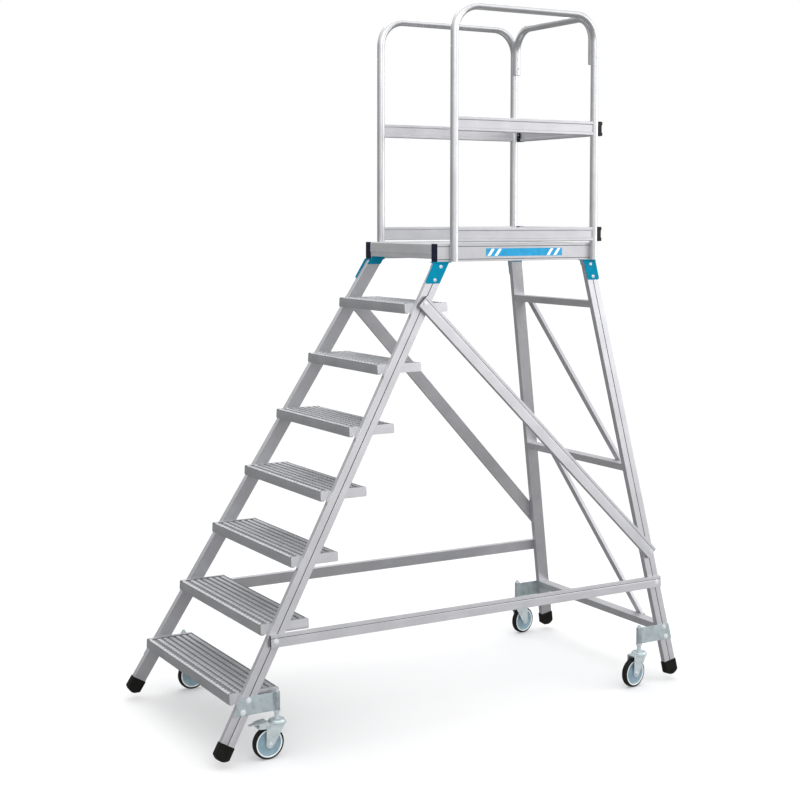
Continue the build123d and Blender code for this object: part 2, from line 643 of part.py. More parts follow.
def castor_fork():
    """Pressed fork: swivel cup on top, top plate and two tapering legs, with a bore for the axle."""
    low, high = FORK_PLATE
    cup = Pos(0, 0, high) * Cone(33.0, 24.0, FORK_TOP - high, align=(Align.CENTER, Align.CENTER, Align.MIN))
    reach = LEG_INNER + LEG_T
    plate = box((-52, 30), (-reach, reach), (low, high))
    fork = disc(34.0, low, high) + plate + cup
    axle_x, axle_z = -WHEEL_TRAIL, WHEEL_R
    for side in (-1, 1):
        y0 = LEG_INNER if side > 0 else -reach
        face = Plane(origin=(0, y0, 0), x_dir=(1, 0, 0), z_dir=(0, -1, 0))
        leg = outline((-52, low), (-53, axle_z), (axle_x, axle_z - 3), (-19, axle_z - 3), (24, low - 6), (30, low))
        leg = leg + Pos(axle_x, axle_z) * Circle(16.5)
        fork += extrude(face * leg, amount=-LEG_T)
    fork -= disc(SPIGOT_R + RUNNING, low - 1, FORK_TOP + 1)
    return fork - cross_disc(AXLE_R, axle_x, axle_z, -reach - 1, reach + 1)


def castor_axle():
    """Axle bolt with a hexagon head on one side and a nut on the other."""
    reach = LEG_INNER + LEG_T
    x, z = -WHEEL_TRAIL, WHEEL_R
    axle = cross_disc(AXLE_R, x, z, -reach - 6, reach + 6)
    for y in (-reach - 5, reach):
        face = Plane(origin=(x, y, z), x_dir=(1, 0, 0), z_dir=(0, 1, 0))
        axle += extrude(face * RegularPolygon(7.5, 6), amount=5)
    return axle


def spun(points):
    """Revolve an outline of (radius, offset along the axle) about the wheel's axle."""
    axle = (-WHEEL_TRAIL, 0, WHEEL_R)
    face = Plane(origin=axle, x_dir=(0, 0, 1), z_dir=(-1, 0, 0))
    return revolve(face * outline(*points), axis=Axis(axle, (0, 1, 0)), revolution_arc=360)


def castor_wheel():
    """Wheel centre: hub, dished web and rim, with a running bore for the axle."""
    rim = TYRE_W / 2 - 1.5
    bore = AXLE_R + RUNNING
    half = [(bore, HUB_HALF), (13.0, HUB_HALF), (15.0, 9.0), (40.0, 5.0), (47.5, rim - 2.0), (49.0, rim), (RIM_R, rim)]
    return spun(half + [(r, -y) for r, y in reversed(half)])


def castor_tyre():
    """Rubber tyre bonded to the rim, with a slightly crowned tread."""
    rim, half = TYRE_W / 2 - 1.5, TYRE_W / 2
    side = [(RIM_R, rim), (RIM_R + 1.5, half), (WHEEL_R - 5, half), (WHEEL_R - 1.5, half - 3), (WHEEL_R, half - 8)]
    return spun(side + [(r, -y) for r, y in reversed(side)])


def brake_pedal():
    """Foot brake that straddles the fork: sloping tread plate, side cheeks, shoe above the tyre, pivot pins."""
    px, pz = PEDAL_PIVOT
    inner = LEG_INNER + LEG_T + GAP
    outer = inner + 2.5
    plate = outline((PEDAL_TIP, 141.0), (-46, 150.5), (-46, 148.0), (PEDAL_TIP, 138.5))
    cheek = outline((PEDAL_TIP + 2, 139.0), (-98, 127.5), (-60, 124), (px + 6, 126), (px + 8, pz), (-46, 148.5))
    shoe = outline((-85, 126), (-65, 126), (-65, 134), (-85, 134))
    pedal = extrude(Plane(origin=(0, outer, 0), x_dir=(1, 0, 0), z_dir=(0, -1, 0)) * plate, amount=2 * outer)
    pedal += extrude(Plane(origin=(0, outer, 0), x_dir=(1, 0, 0), z_dir=(0, -1, 0)) * shoe, amount=2 * outer)
    for side in (-1, 1):
        y0 = outer if side > 0 else -inner
        pedal += extrude(Plane(origin=(0, y0, 0), x_dir=(1, 0, 0), z_dir=(0, -1, 0)) * cheek, amount=outer - inner)
        pedal += cross_disc(PEDAL_PIN_R, px, pz, *sorted((side * LEG_INNER, side * (outer + 1))))
        pedal += cross_disc(PEDAL_PIN_R + 2, px, pz, *sorted((side * outer, side * (outer + 2))))
    half = outer + 2
    neck_x, neck_half = PEDAL_NECK
    plan = outline((PEDAL_TIP, -PEDAL_TIP_HALF), (neck_x, -neck_half), (neck_x + 16, -half), (0, -half), (0, half),
                   (neck_x + 16, half), (neck_x, neck_half), (PEDAL_TIP, PEDAL_TIP_HALF))
    return pedal & extrude(Plane.XY.offset(100) * plan, amount=100)


def placed(part, castor):
    x, side, heading, _ = castor
    return Pos(x, side * CASTOR_Y, 0) * Rot(0, 0, heading) * part


# ---------------------------------------------------------------- assembly
def write(name, *parts):
    """Write one node as a STEP file that holds its solids."""
    solids = [solid for part in parts for solid in part.solids()]
    shape = solids[0] if len(solids) == 1 else Compound(solids)
    export_step(shape, f"parts/{name}.step")
    NODES[name] = shape


NODES = {}
os.makedirs("parts", exist_ok=True)

# fasteners come first, because the pieces they pass through are cut to them
side_fasteners = brace_bolts() + bracket_bolts() + joint_screws() + rear_rail_bolts() + [guard_bolt(), post_plug()]
write("frame_fasteners", *[piece for bolt in side_fasteners for piece in both_sides(bolt)])

stile_top = JOINT_TOP_Z - JOINT_SEAT_T
for name, line, slope in (("front_stile", front_x, FRONT_SLOPE), ("rear_stile", rear_x, REAR_SLOPE)):
    right = cut_all(stile(line, slope, stile_top), side_fasteners)
    write(f"{name}_right", right)
    write(f"{name}_left", mirrored(right))
feet = [foot(front_x, FRONT_SLOPE), foot(rear_x, REAR_SLOPE)]
write("foot_caps", *[piece for part in feet for piece in both_sides(part)])

for i in range(TREAD_COUNT):
    write(f"tread_{i + 1}", tread(i))
write("tread_cheeks", *[piece for i in range(TREAD_COUNT) for piece in both_sides(tread_cheek(i))])

post_bars = handrail_bar(TUBE_R, JOINT_TOP_Z)
handrail = cut_all(post_bars - handrail_bar(TUBE_R - TUBE_WALL, JOINT_TOP_Z - 1), side_fasteners)
write("handrail_right", handrail)
write("handrail_left", mirrored(handrail))
side_profile = platform_side(post_bars)
write("platform_side_right", side_profile)
write("platform_side_left", mirrored(side_profile))
write("platform_end_caps", *both_sides(side_profile_cap()))
brackets = [joint_bracket(front_x, FRONT_SLOPE), joint_bracket(rear_x, REAR_SLOPE)]
brackets = [piece for part in brackets for piece in both_sides(cut_all(part, side_fasteners))]
write("joint_brackets", *brackets)
write("platform_nosing", cut_all(platform_nosing(), brackets))
write("platform_rear_beam", cut_all(platform_rear_beam(), brackets))
write("deck_planks", *deck_planks())

write("side_knee_rails", *both_sides(side_rail(KNEE_RAIL_Z, post_bars)))
write("side_toe_boards", *both_sides(side_rail(TOE_BOARD_Z, post_bars)))
all_rail_bolts = [piece for bolt in rear_rail_bolts() for piece in both_sides(bolt)]
write("rear_rails", *[cut_all(rear_rail(z), all_rail_bolts) for z in (KNEE_RAIL_Z, TOE_BOARD_Z)])
caps = [cut_all(rail_end_cap(z), all_rail_bolts) for z in (KNEE_RAIL_Z, TOE_BOARD_Z)]
write("rail_end_caps", *[piece for part in caps for piece in both_sides(part)])
write("rear_guard", cut_all(rear_guard(), both_sides(guard_bolt())))

diagonal = cut_all(brace_bar(*past(*DIAGONAL_ENDS, 15, 13), DIAGONAL_W), side_fasteners)
write("diagonal_braces", *both_sides(diagonal))
horizontal_ends = (front_x(HORIZONTAL_Z) - 22, HORIZONTAL_Z), (rear_x(HORIZONTAL_Z) + 24, HORIZONTAL_Z)
horizontal = cut_all(brace_bar(*horizontal_ends, HORIZONTAL_W), side_fasteners)
write("horizontal_braces", *both_sides(horizontal))
write("cross_members", *[cross_member(z) for z in CROSS_MEMBER_Z])
write("rear_diagonals", *[rear_diagonal(CROSS_MEMBER_Z[i + 1], CROSS_MEMBER_Z[i]) for i in (0, 1)])

for end, line, slope, stem_x in (("front", front_x, FRONT_SLOPE, CASTOR_FRONT_X),
                                 ("rear", rear_x, REAR_SLOPE, CASTOR_REAR_X)):
    bracket = cut_all(castor_bracket(line, slope, stem_x), side_fasteners)
    write(f"castor_brackets_{end}", *both_sides(bracket))

plain_fork = castor_fork()
braked_fork = plain_fork - cross_disc(PEDAL_PIN_R + RUNNING, *PEDAL_PIVOT, -30, 30)
for name, castor in CASTORS.items():
    braked = castor[3]
    write(f"castor_stem_{name}", placed(castor_stem(), castor))
    write(f"castor_spring_{name}", placed(castor_spring(), castor))
    write(f"castor_fork_{name}", placed(braked_fork if braked else plain_fork, castor))
    write(f"castor_axle_{name}", placed(castor_axle(), castor))
    write(f"castor_wheel_{name}", placed(castor_wheel(), castor))
    write(f"castor_tyre_{name}", placed(castor_tyre(), castor))
    if braked:
        write(f"brake_pedal_{name}", placed(brake_pedal(), castor))

bounds = Compound([solid for shape in NODES.values() for solid in shape.solids()]).bounding_box()
print(len(NODES), "nodes; size", [round(v, 1) for v in bounds.size], "low", [round(v, 2) for v in bounds.min],
      "high", [round(v, 2) for v in bounds.max])
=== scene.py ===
"""Looks of the rolling warehouse ladder: meshes, materials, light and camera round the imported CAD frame.

Metres, +X from the steps to the back of the platform, +Y to the climber's left, +Z up, floor at z = 0.
"""
import math

import bmesh
import bpy
from mathutils import Matrix, Vector


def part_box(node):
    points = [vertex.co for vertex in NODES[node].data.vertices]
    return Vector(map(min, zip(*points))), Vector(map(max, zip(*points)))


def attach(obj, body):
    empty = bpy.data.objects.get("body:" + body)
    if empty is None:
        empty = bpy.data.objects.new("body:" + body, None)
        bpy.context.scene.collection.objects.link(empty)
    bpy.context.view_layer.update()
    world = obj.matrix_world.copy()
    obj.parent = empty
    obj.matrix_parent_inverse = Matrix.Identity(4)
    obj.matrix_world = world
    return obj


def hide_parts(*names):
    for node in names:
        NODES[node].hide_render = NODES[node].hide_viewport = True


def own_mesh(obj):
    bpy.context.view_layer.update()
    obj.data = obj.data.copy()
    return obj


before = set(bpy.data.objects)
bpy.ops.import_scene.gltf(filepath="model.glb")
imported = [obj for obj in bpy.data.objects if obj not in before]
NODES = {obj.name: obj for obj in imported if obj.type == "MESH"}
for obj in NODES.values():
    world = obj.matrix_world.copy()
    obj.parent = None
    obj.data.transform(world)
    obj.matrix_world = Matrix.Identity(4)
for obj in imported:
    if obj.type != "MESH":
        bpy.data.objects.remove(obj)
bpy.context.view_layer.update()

# ---------------------------------------------------------------- driving sizes, as the CAD has them
MM = 0.001
SPLAY = 0.105                                  # lean of each side frame, per unit of height
HALF_WIDTH_FLOOR = 461.9 * MM                  # inner face of the stiles at floor level
STILE_THICK = 25 * MM
STEP_RISE = 240 * MM
STEP_RUN = 141.6 * MM
FIRST_TREAD = Vector((-1033.7, 0, 260)) * MM
TREAD_COUNT = 7
TREAD_DEPTH = 205 * MM
PLATFORM_Z = FIRST_TREAD.z + TREAD_COUNT * STEP_RISE
PLATFORM_FRONT_X = FIRST_TREAD.x + TREAD_COUNT * STEP_RUN
FRONT_SLOPE = STEP_RUN / STEP_RISE
REAR_SLOPE = -0.1822
FRONT_FOOT_X = -1108.0 * MM
TUBE_R = 17 * MM
POST_FRONT_X = 38.9 * MM
POST_REAR_X = 757.3 * MM
POST_Y = 306.4 * MM
RAIL_Z = 2924 * MM
TUBE_BEND = 114 * MM
GUARD_LEG_Y = 287 * MM
GUARD_BEND = 106 * MM
CASTOR_Y = 468 * MM
WHEEL_R = 62.5 * MM
WHEEL_TRAIL = 37 * MM
# each castor's X, side of the ladder and heading in degrees
CASTORS = {"front_right": (-852.7 * MM, -1, 0.0), "front_left": (-852.7 * MM, 1, 180.0),
           "rear_right": (903.3 * MM, -1, 10.0), "rear_left": (903.3 * MM, 1, 190.0)}


def half_width(z):
    """Distance from the middle of the ladder to the inner face of its stiles at a height."""
    return HALF_WIDTH_FLOOR - SPLAY * z


# ---------------------------------------------------------------- material nodes
def new_material(name, color, metallic=0.0, roughness=0.5, specular=0.5):
    """A material whose even values sit on the shader's own sockets."""
    mat = bpy.data.materials.new(name)
    mat.use_nodes = True
    shader = mat.node_tree.nodes["Principled BSDF"]
    shader.inputs["Base Color"].default_value = (*color, 1)
    shader.inputs["Metallic"].default_value = metallic
    shader.inputs["Roughness"].default_value = roughness
    shader.inputs["Specular IOR Level"].default_value = specular
    return mat, mat.node_tree, shader


def coordinates(tree, along=None, stretch=1.0):
    """Object coordinates, optionally with the given direction turned to Z and shrunk by stretch."""
    source = tree.nodes.new("ShaderNodeTexCoord").outputs["Object"]
    if along is None:
        return source
    turn = tree.nodes.new("ShaderNodeMapping")
    turn.inputs["Rotation"].default_value = Vector(along).rotation_difference(Vector((0, 0, 1))).to_euler()
    scale = tree.nodes.new("ShaderNodeMapping")
    scale.inputs["Scale"].default_value = (1, 1, stretch)
    tree.links.new(source, turn.inputs["Vector"])
    tree.links.new(turn.outputs["Vector"], scale.inputs["Vector"])
    return scale.outputs["Vector"]


def noise(tree, vector, scale, detail=3.0, roughness=0.5):
    node = tree.nodes.new("ShaderNodeTexNoise")
    node.inputs["Scale"].default_value = scale
    node.inputs["Detail"].default_value = detail
    node.inputs["Roughness"].default_value = roughness
    tree.links.new(vector, node.inputs["Vector"])
    return node.outputs["Fac"]


def cells(tree, vector, scale):
    node = tree.nodes.new("ShaderNodeTexVoronoi")
    node.inputs["Scale"].default_value = scale
    tree.links.new(vector, node.inputs["Vector"])
    return node.outputs["Color"]


def ranged(tree, value, low, high, from_low=0.3, from_high=0.7):
    node = tree.nodes.new("ShaderNodeMapRange")
    node.inputs["From Min"].default_value = from_low
    node.inputs["From Max"].default_value = from_high
    node.inputs["To Min"].default_value = low
    node.inputs["To Max"].default_value = high
    tree.links.new(value, node.inputs["Value"])
    return node.outputs["Result"]


def ramp(tree, value, stops):
    node = tree.nodes.new("ShaderNodeValToRGB")
    elements = node.color_ramp.elements
    for i, (place, color) in enumerate(stops):
        element = elements[i] if i < 2 else elements.new(place)
        element.position = place
        element.color = (*color, 1)
    tree.links.new(value, node.inputs["Fac"])
    return node.outputs["Color"]


def mixed(tree, factor, a, b, mode="MIX"):
    """Mix two colours by a factor; the second one may be plain numbers."""
    node = tree.nodes.new("ShaderNodeMix")
    node.data_type = "RGBA"
    node.blend_type = mode
    if isinstance(factor, float):
        node.inputs[0].default_value = factor
    else:
        tree.links.new(factor, node.inputs[0])
    tree.links.new(a, node.inputs[6])
    if isinstance(b, tuple):
        node.inputs[7].default_value = (*b, 1)
    else:
        tree.links.new(b, node.inputs[7])
    return node.outputs[2]


def bump(tree, shader, height, strength, distance):
    node = tree.nodes.new("ShaderNodeBump")
    node.inputs["Strength"].default_value = strength
    node.inputs["Distance"].default_value = distance
    tree.links.new(height, node.inputs["Height"])
    tree.links.new(node.outputs["Normal"], shader.inputs["Normal"])


def edge_wear(tree, low, high):
    """How exposed an edge is, from the mesh's own curvature."""
    point = tree.nodes.new("ShaderNodeNewGeometry").outputs["Pointiness"]
    return ranged(tree, point, 0.0, 1.0, low, high)


# ---------------------------------------------------------------- materials
def extruded_aluminium(name, along, tint=(0.70, 0.70, 0.725), rough=(0.34, 0.46), metallic=0.92):
    """Mill-finish extrusion: die lines along its length, faint cloudy tone and small handling marks."""
    mat, tree, shader = new_material(name, tint, metallic=metallic)
    lines = noise(tree, coordinates(tree, along, 0.012), 900, 2.0)
    cloud = noise(tree, coordinates(tree), 9, 4.0)
    marks = noise(tree, coordinates(tree), 260, 5.0, 0.7)
    dark = tuple(c * 0.88 for c in tint)
    tone = ramp(tree, cloud, [(0.3, dark), (0.7, tint)])
    streak = ramp(tree, lines, [(0.25, (0.90, 0.90, 0.91)), (0.75, (1, 1, 1))])
    tree.links.new(mixed(tree, 1.0, tone, streak, "MULTIPLY"), shader.inputs["Base Color"])
    tree.links.new(ranged(tree, mixed(tree, 0.45, lines, marks), *rough), shader.inputs["Roughness"])
    bump(tree, shader, lines, 0.25, 0.00012)
    return mat


def tube_aluminium(name):
    """Drawn tube: fine lines along the tube, read from the piece's own length and girth coordinates."""
    mat, tree, shader = new_material(name, (0.74, 0.745, 0.765), metallic=0.95)
    uv = tree.nodes.new("ShaderNodeUVMap")
    uv.uv_map = "UVMap"
    scale = tree.nodes.new("ShaderNodeMapping")
    scale.inputs["Scale"].default_value = (6, 900, 1)
    tree.links.new(uv.outputs["UV"], scale.inputs["Vector"])
    lines = noise(tree, scale.outputs["Vector"], 1.0, 2.0)
    cloud = noise(tree, coordinates(tree), 12, 4.0)
    tone = ramp(tree, cloud, [(0.3, (0.66, 0.665, 0.685)), (0.7, (0.76, 0.765, 0.78))])
    tree.links.new(tone, shader.inputs["Base Color"])
    tree.links.new(ranged(tree, lines, 0.24, 0.36), shader.inputs["Roughness"])
    bump(tree, shader, lines, 0.15, 0.0001)
    return mat


def zinc_steel(name, tint=(0.60, 0.68, 0.70), scale=420, metallic=0.5):
    """Zinc-plated steel: small crystals of slightly different tone, a blue-green cast, and a soft shine."""
    mat, tree, shader = new_material(name, tint, metallic=metallic)
    crystals = cells(tree, coordinates(tree), scale)
    cloud = noise(tree, coordinates(tree), 40, 5.0, 0.6)
    dark = tuple(c * 0.80 for c in tint)
    light = tuple(min(1, c * 1.12) for c in tint)
    tone = ramp(tree, cloud, [(0.25, dark), (0.5, tint), (0.75, light)])
    flecks = ramp(tree, crystals, [(0.0, (0.90, 0.91, 0.92)), (1.0, (1, 1, 1))])
    tree.links.new(mixed(tree, 1.0, tone, flecks, "MULTIPLY"), shader.inputs["Base Color"])
    tree.links.new(ranged(tree, cloud, 0.26, 0.44), shader.inputs["Roughness"])
    bump(tree, shader, crystals, 0.10, 0.0002)
    return mat


def powder_blue(name):
    """Powder coat: bright blue with a fine orange peel and slightly worn edges."""
    mat, tree, shader = new_material(name, (0.0, 0.25, 0.42), roughness=0.42, specular=0.05)
    peel = noise(tree, coordinates(tree), 900, 2.0)
    cloud = noise(tree, coordinates(tree), 30, 4.0)
    tone = ramp(tree, cloud, [(0.3, (0.0, 0.20, 0.33)), (0.7, (0.0, 0.235, 0.38))])
    worn = ramp(tree, peel, [(0.3, (0.03, 0.27, 0.42)), (0.7, (0.07, 0.33, 0.48))])
    tree.links.new(mixed(tree, edge_wear(tree, 0.56, 0.70), tone, worn), shader.inputs["Base Color"])
    tree.links.new(ranged(tree, cloud, 0.36, 0.50), shader.inputs["Roughness"])
    bump(tree, shader, peel, 0.25, 0.00015)
    return mat


def moulded(name, color, rough=(0.40, 0.55), grain=1400, dusty=None, specular=0.5):
    """Moulded plastic or rubber: fine grain, uneven sheen, and optional dust on the edges."""
    mat, tree, shader = new_material(name, color, specular=specular)
    fine = noise(tree, coordinates(tree), grain, 2.0)
    cloud = noise(tree, coordinates(tree), 45, 5.0, 0.6)
    light = tuple(c * 1.35 + 0.003 for c in color)
    tone = ramp(tree, cloud, [(0.3, color), (0.75, light)])
    if dusty:
        dust = ramp(tree, fine, [(0.3, dusty), (0.7, tuple(c * 1.25 for c in dusty))])
        tone = mixed(tree, edge_wear(tree, 0.54, 0.68), tone, dust)
    tree.links.new(tone, shader.inputs["Base Color"])
    tree.links.new(ranged(tree, cloud, *rough), shader.inputs["Roughness"])
    bump(tree, shader, fine, 0.2, 0.00015)
    return mat


PAPER_REACH = 1.8                              # distance from the middle where the paper starts to fade
GLOW_START = 4.2                               # and where only the glow is left
FLOOR_GLOW = (0.22, 1.02)                      # strength of the glow near the object and far out


def floor_material():
    """Pale paper near the object that turns into an even white glow further out."""
    mat, tree, shader = new_material("studio_floor", (0.75, 0.75, 0.755), roughness=0.8, specular=0.1)
    place = coordinates(tree)
    cloud = noise(tree, place, 0.6, 2.0)
    paper = ramp(tree, cloud, [(0.2, (0.74, 0.742, 0.75)), (0.8, (0.755, 0.757, 0.762))])
    length = tree.nodes.new("ShaderNodeVectorMath")
    length.operation = "LENGTH"
    tree.links.new(place, length.inputs[0])
    away = ranged(tree, length.outputs["Value"], 0.0, 1.0, PAPER_REACH, GLOW_START)
    tree.links.new(mixed(tree, away, paper, (0, 0, 0)), shader.inputs["Base Color"])
    shader.inputs["Emission Color"].default_value = (1, 1, 1, 1)
    tree.links.new(ranged(tree, away, *FLOOR_GLOW, 0.0, 1.0), shader.inputs["Emission Strength"])
    return mat


FRONT_ALONG = Vector((FRONT_SLOPE, 0, 1))
REAR_ALONG = Vector((REAR_SLOPE, 0, 1))
DIAGONAL_ALONG = Vector((1100, 0, -1128))
REAR_DIAGONAL_ALONG = Vector((-0.13, 0.54, 0.72))
ACROSS = Vector((0, 1, 0))
LENGTHWAYS = Vector((1, 0, 0))
MAT = {
    "front_stile": extruded_aluminium("aluminium_front_stile", FRONT_ALONG),
    "rear_stile": extruded_aluminium("aluminium_rear_stile", REAR_ALONG),
    "diagonal": extruded_aluminium("aluminium_diagonal", DIAGONAL_ALONG),
    "lengthways": extruded_aluminium("aluminium_lengthways", LENGTHWAYS),
    "across": extruded_aluminium("aluminium_across", ACROSS),
    "rear_diagonal": extruded_aluminium("aluminium_rear_diagonal", REAR_DIAGONAL_ALONG),
    "tread": extruded_aluminium("aluminium_tread", ACROSS, (0.64, 0.655, 0.675), (0.40, 0.54)),
    # the lighter, shinier rib tops are painted highlight
    "rib": extruded_aluminium("aluminium_rib_painted_highlight", ACROSS, (0.74, 0.75, 0.77), (0.30, 0.42), 0.75),
    # the dark floors between the ribs are painted shade
    "groove": extruded_aluminium("aluminium_groove_painted_shade", ACROSS, (0.30, 0.31, 0.325), (0.50, 0.65), 0.6),
    "slot": moulded("groove_shadow", (0.035, 0.037, 0.04), (0.6, 0.75), specular=0.15),
    # the bright caps on the nosing teeth are painted highlight
    "tooth": extruded_aluminium("aluminium_tooth_painted_highlight", ACROSS, (0.90, 0.905, 0.91), (0.26, 0.36), 0.25),
    "nosing": extruded_aluminium("aluminium_nosing", ACROSS, (0.74, 0.76, 0.775), (0.34, 0.46), 0.8),
    "tube": tube_aluminium("aluminium_tube"),
    "zinc": zinc_steel("zinc_plated_steel", (0.66, 0.74, 0.76)),
    "zinc_plate": zinc_steel("zinc_plate", (0.49, 0.56, 0.585), 300, 0.7),
    "bolt": zinc_steel("zinc_bolt", (0.78, 0.79, 0.82), 900),
    "spring": zinc_steel("spring_steel", (0.30, 0.31, 0.33), 900),
    "weld": zinc_steel("weld_bead", (0.50, 0.55, 0.56), 1200),
    "blue": powder_blue("powder_blue"),
    "label_blue": moulded("label_blue", (0.0, 0.27, 0.52), (0.28, 0.36), 500),
    "label_white": moulded("label_white", (0.82, 0.83, 0.84), (0.30, 0.38), 500),
    "navy": moulded("navy_plastic", (0.004, 0.006, 0.020), (0.35, 0.5), dusty=(0.012, 0.015, 0.03),
                    specular=0.15),
    "black": moulded("black_plastic", (0.008, 0.008, 0.009), (0.35, 0.5), specular=0.25),
    "foot": moulded("foot_rubber", (0.006, 0.006, 0.005), (0.38, 0.56), 1100, (0.018, 0.018, 0.015), 0.10),
    "tyre": moulded("tyre_rubber", (0.008, 0.008, 0.007), (0.45, 0.62), 1100, (0.022, 0.022, 0.020), 0.12),
    "wheel": moulded("wheel_plastic", (0.19, 0.28, 0.33), (0.30, 0.42), 1200),
    "ring": moulded("rim_ring", (0.66, 0.70, 0.71), (0.32, 0.44), 1200),
}


# ---------------------------------------------------------------- mesh tools
SAME_POINT = 2e-6
GROOVE_WIDTH = 3.3 * MM                        # faces narrower than this belong to a groove
SHARP = 32                                     # degrees; edges that turn more than this are rounded


def finish_mesh(name, mesh, material, body="frame", replaces=(), angle=SHARP, extra=()):
    """Make the object, shade it and tie it to its body. extra holds (material, test of a face) pairs."""
    mesh.name = name
    mesh.materials.clear()
    mesh.materials.append(MAT[material])
    mesh.shade_smooth()
    mesh.set_sharp_from_angle(angle=math.radians(angle))
    piece = bpy.data.objects.new(name, mesh)
    bpy.context.scene.collection.objects.link(piece)
    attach(piece, body)
    for index, (other, chosen) in enumerate(extra, 1):
        mesh.materials.append(MAT[other])
        for face in mesh.polygons:
            if chosen(face):
                face.material_index = index
    if replaces:
        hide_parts(*replaces)
    return piece


def mesh_from(bm, recalc=True):
    if recalc:
        bmesh.ops.recalc_face_normals(bm, faces=bm.faces)
    mesh = bpy.data.meshes.new("mesh")
    bm.to_mesh(mesh)
    bm.free()
    return mesh


def sharp_edges(bm):
    return [e for e in bm.edges if len(e.link_faces) == 2 and e.calc_face_angle(0) > math.radians(SHARP)]


def is_narrow(face):
    return face.calc_area() / max(e.calc_length() for e in face.edges) < GROOVE_WIDTH


def refined(node, material, width=0.6, body="frame", segments=2, grooved=False):
    """A copy of a CAD node's shape with its flat faces made whole and its edges rounded.

    The grooves of a grooved profile stay crisp, and their insides are painted near black as painted shade.
    """
    bm = bmesh.new()
    bm.from_mesh(NODES[node].data)
    bmesh.ops.remove_doubles(bm, verts=bm.verts, dist=SAME_POINT)
    bmesh.ops.dissolve_degenerate(bm, edges=bm.edges, dist=1e-6)
    bmesh.ops.dissolve_limit(bm, angle_limit=math.radians(0.4), verts=bm.verts, edges=bm.edges)
    sharp = sharp_edges(bm)
    mark = bm.faces.layers.int.new("groove")
    if grooved:
        narrow = {f for f in bm.faces if is_narrow(f)}
        sharp = [e for e in sharp if not narrow.intersection(e.link_faces)]
        for f in narrow:
            f[mark] = 1
    bmesh.ops.bevel(bm, geom=sharp, offset=width * MM, segments=segments, profile=0.5, affect="EDGES",
                    clamp_overlap=False, miter_outer="ARC")
    bmesh.ops.triangulate(bm, faces=[f for f in bm.faces if len(f.verts) > 4])
    mesh = mesh_from(bm, False)
    marked = [bool(v.value) for v in mesh.attributes["groove"].data]
    mesh.attributes.remove(mesh.attributes["groove"])
    extra = [("slot", lambda face: marked[face.index])] if grooved else ()
    piece = finish_mesh(f"{node}_look", mesh, material, body, (node,), extra=extra)
    even = piece.modifiers.new("even_normals", "WEIGHTED_NORMAL")
    even.keep_sharp = True


def add_grid(bm, rows, close_rows=False, close_columns=True, cap_ends=True):
    """Join rows of points into quads. Rows may be closed loops and their ends may be capped."""
    made = [[bm.verts.new(p) for p in row] for row in rows]
    count = len(made[0])
    last = len(made) if close_rows else len(made) - 1
    for i in range(last):
        a, b = made[i], made[(i + 1) % len(made)]
        for j in range(count if close_columns else count - 1):
            k = (j + 1) % count
            bm.faces.new((a[j], a[k], b[k], b[j]))
    if cap_ends and not close_rows:
        bm.faces.new(list(reversed(made[0])))
        bm.faces.new(made[-1])
    return made


def rounded_path(corners, radius, steps=20):
    """Points and tangents along straight runs joined by arcs of one radius."""
    corners = [Vector(c) for c in corners]
    points = [corners[0]]
    for before, corner, after in zip(corners, corners[1:], corners[2:]):
        into, out = (corner - before).normalized(), (after - corner).normalized()
        turn = into.angle(out)
        reach = radius * math.tan(turn / 2)
        centre = corner - into * reach + (out - into * into.dot(out)).normalized() * radius
        arm = (corner - into * reach) - centre
        axis = into.cross(out).normalized()
        points += [centre + Matrix.Rotation(turn * i / steps, 3, axis) @ arm for i in range(steps + 1)]
    points.append(corners[-1])
    return points


def swept_tube(bm, points, radius, sides=48):
    """A tube with caps along points that lie in one plane."""
    tangents = []
    for i in range(len(points)):
        tangents.append((points[min(i + 1, len(points) - 1)] - points[max(i - 1, 0)]).normalized())
    plane = Vector((0, 0, 0))
    for a, b in zip(tangents, tangents[1:]):
        plane += a.cross(b)
    plane.normalize()
    rows = []
    for p, t in zip(points, tangents):
        side = plane.cross(t).normalized()
        rows.append([p + radius * (math.cos(a) * side + math.sin(a) * plane)
                     for a in (2 * math.pi * k / sides for k in range(sides))])
    add_grid(bm, rows)


def add_length_uv(mesh, points):
    """UV with the length along the path in u and the girth in v, both in metres."""
    uv = mesh.uv_layers.new(name="UVMap")
    starts, run = [], 0.0
    for a, b in zip(points, points[1:]):
        starts.append((a, (b - a).normalized(), (b - a).length, run))
        run += (b - a).length
    cache = {}
    for loop in mesh.loops:
        index = loop.vertex_index
        if index not in cache:
            p = mesh.vertices[index].co
            best = None
            for a, t, length, begin in starts:
                along = min(max((p - a).dot(t), 0), length)
                gap = (p - a - t * along).length
                if best is None or gap < best[0]:
                    best = (gap, begin + along, p - a - t * along, t)
            _, u, arm, t = best
            girth = math.atan2(arm.y, arm.cross(t).y + 1e-9) * TUBE_R
            cache[index] = (u, girth)
        uv.data[loop.index].uv = cache[index]


def lathe(bm, profile, centre, axis, segments=96):
    """Revolve a closed outline of (radius, offset along the axis) about an axis."""
    axis = Vector(axis).normalized()
    side = axis.orthogonal().normalized()
    up = axis.cross(side)
    rows = []
    for k in range(segments):
        a = 2 * math.pi * k / segments
        arm = math.cos(a) * side + math.sin(a) * up
        rows.append([Vector(centre) + arm * r * MM + axis * h * MM for r, h in profile])
    add_grid(bm, rows, close_rows=True, cap_ends=False)


def block(bm, centre, ax, ay, az):
    """A box from its centre and three half-axis vectors."""
    corners = [centre + sx * ax + sy * ay + sz * az
               for sx, sy, sz in ((-1, -1, -1), (1, -1, -1), (1, 1, -1), (-1, 1, -1),
                                  (-1, -1, 1), (1, -1, 1), (1, 1, 1), (-1, 1, 1))]
    v = [bm.verts.new(c) for c in corners]
    for ids in ((0, 3, 2, 1), (4, 5, 6, 7), (0, 1, 5, 4), (1, 2, 6, 5), (2, 3, 7, 6), (3, 0, 4, 7)):
        bm.faces.new([v[i] for i in ids])


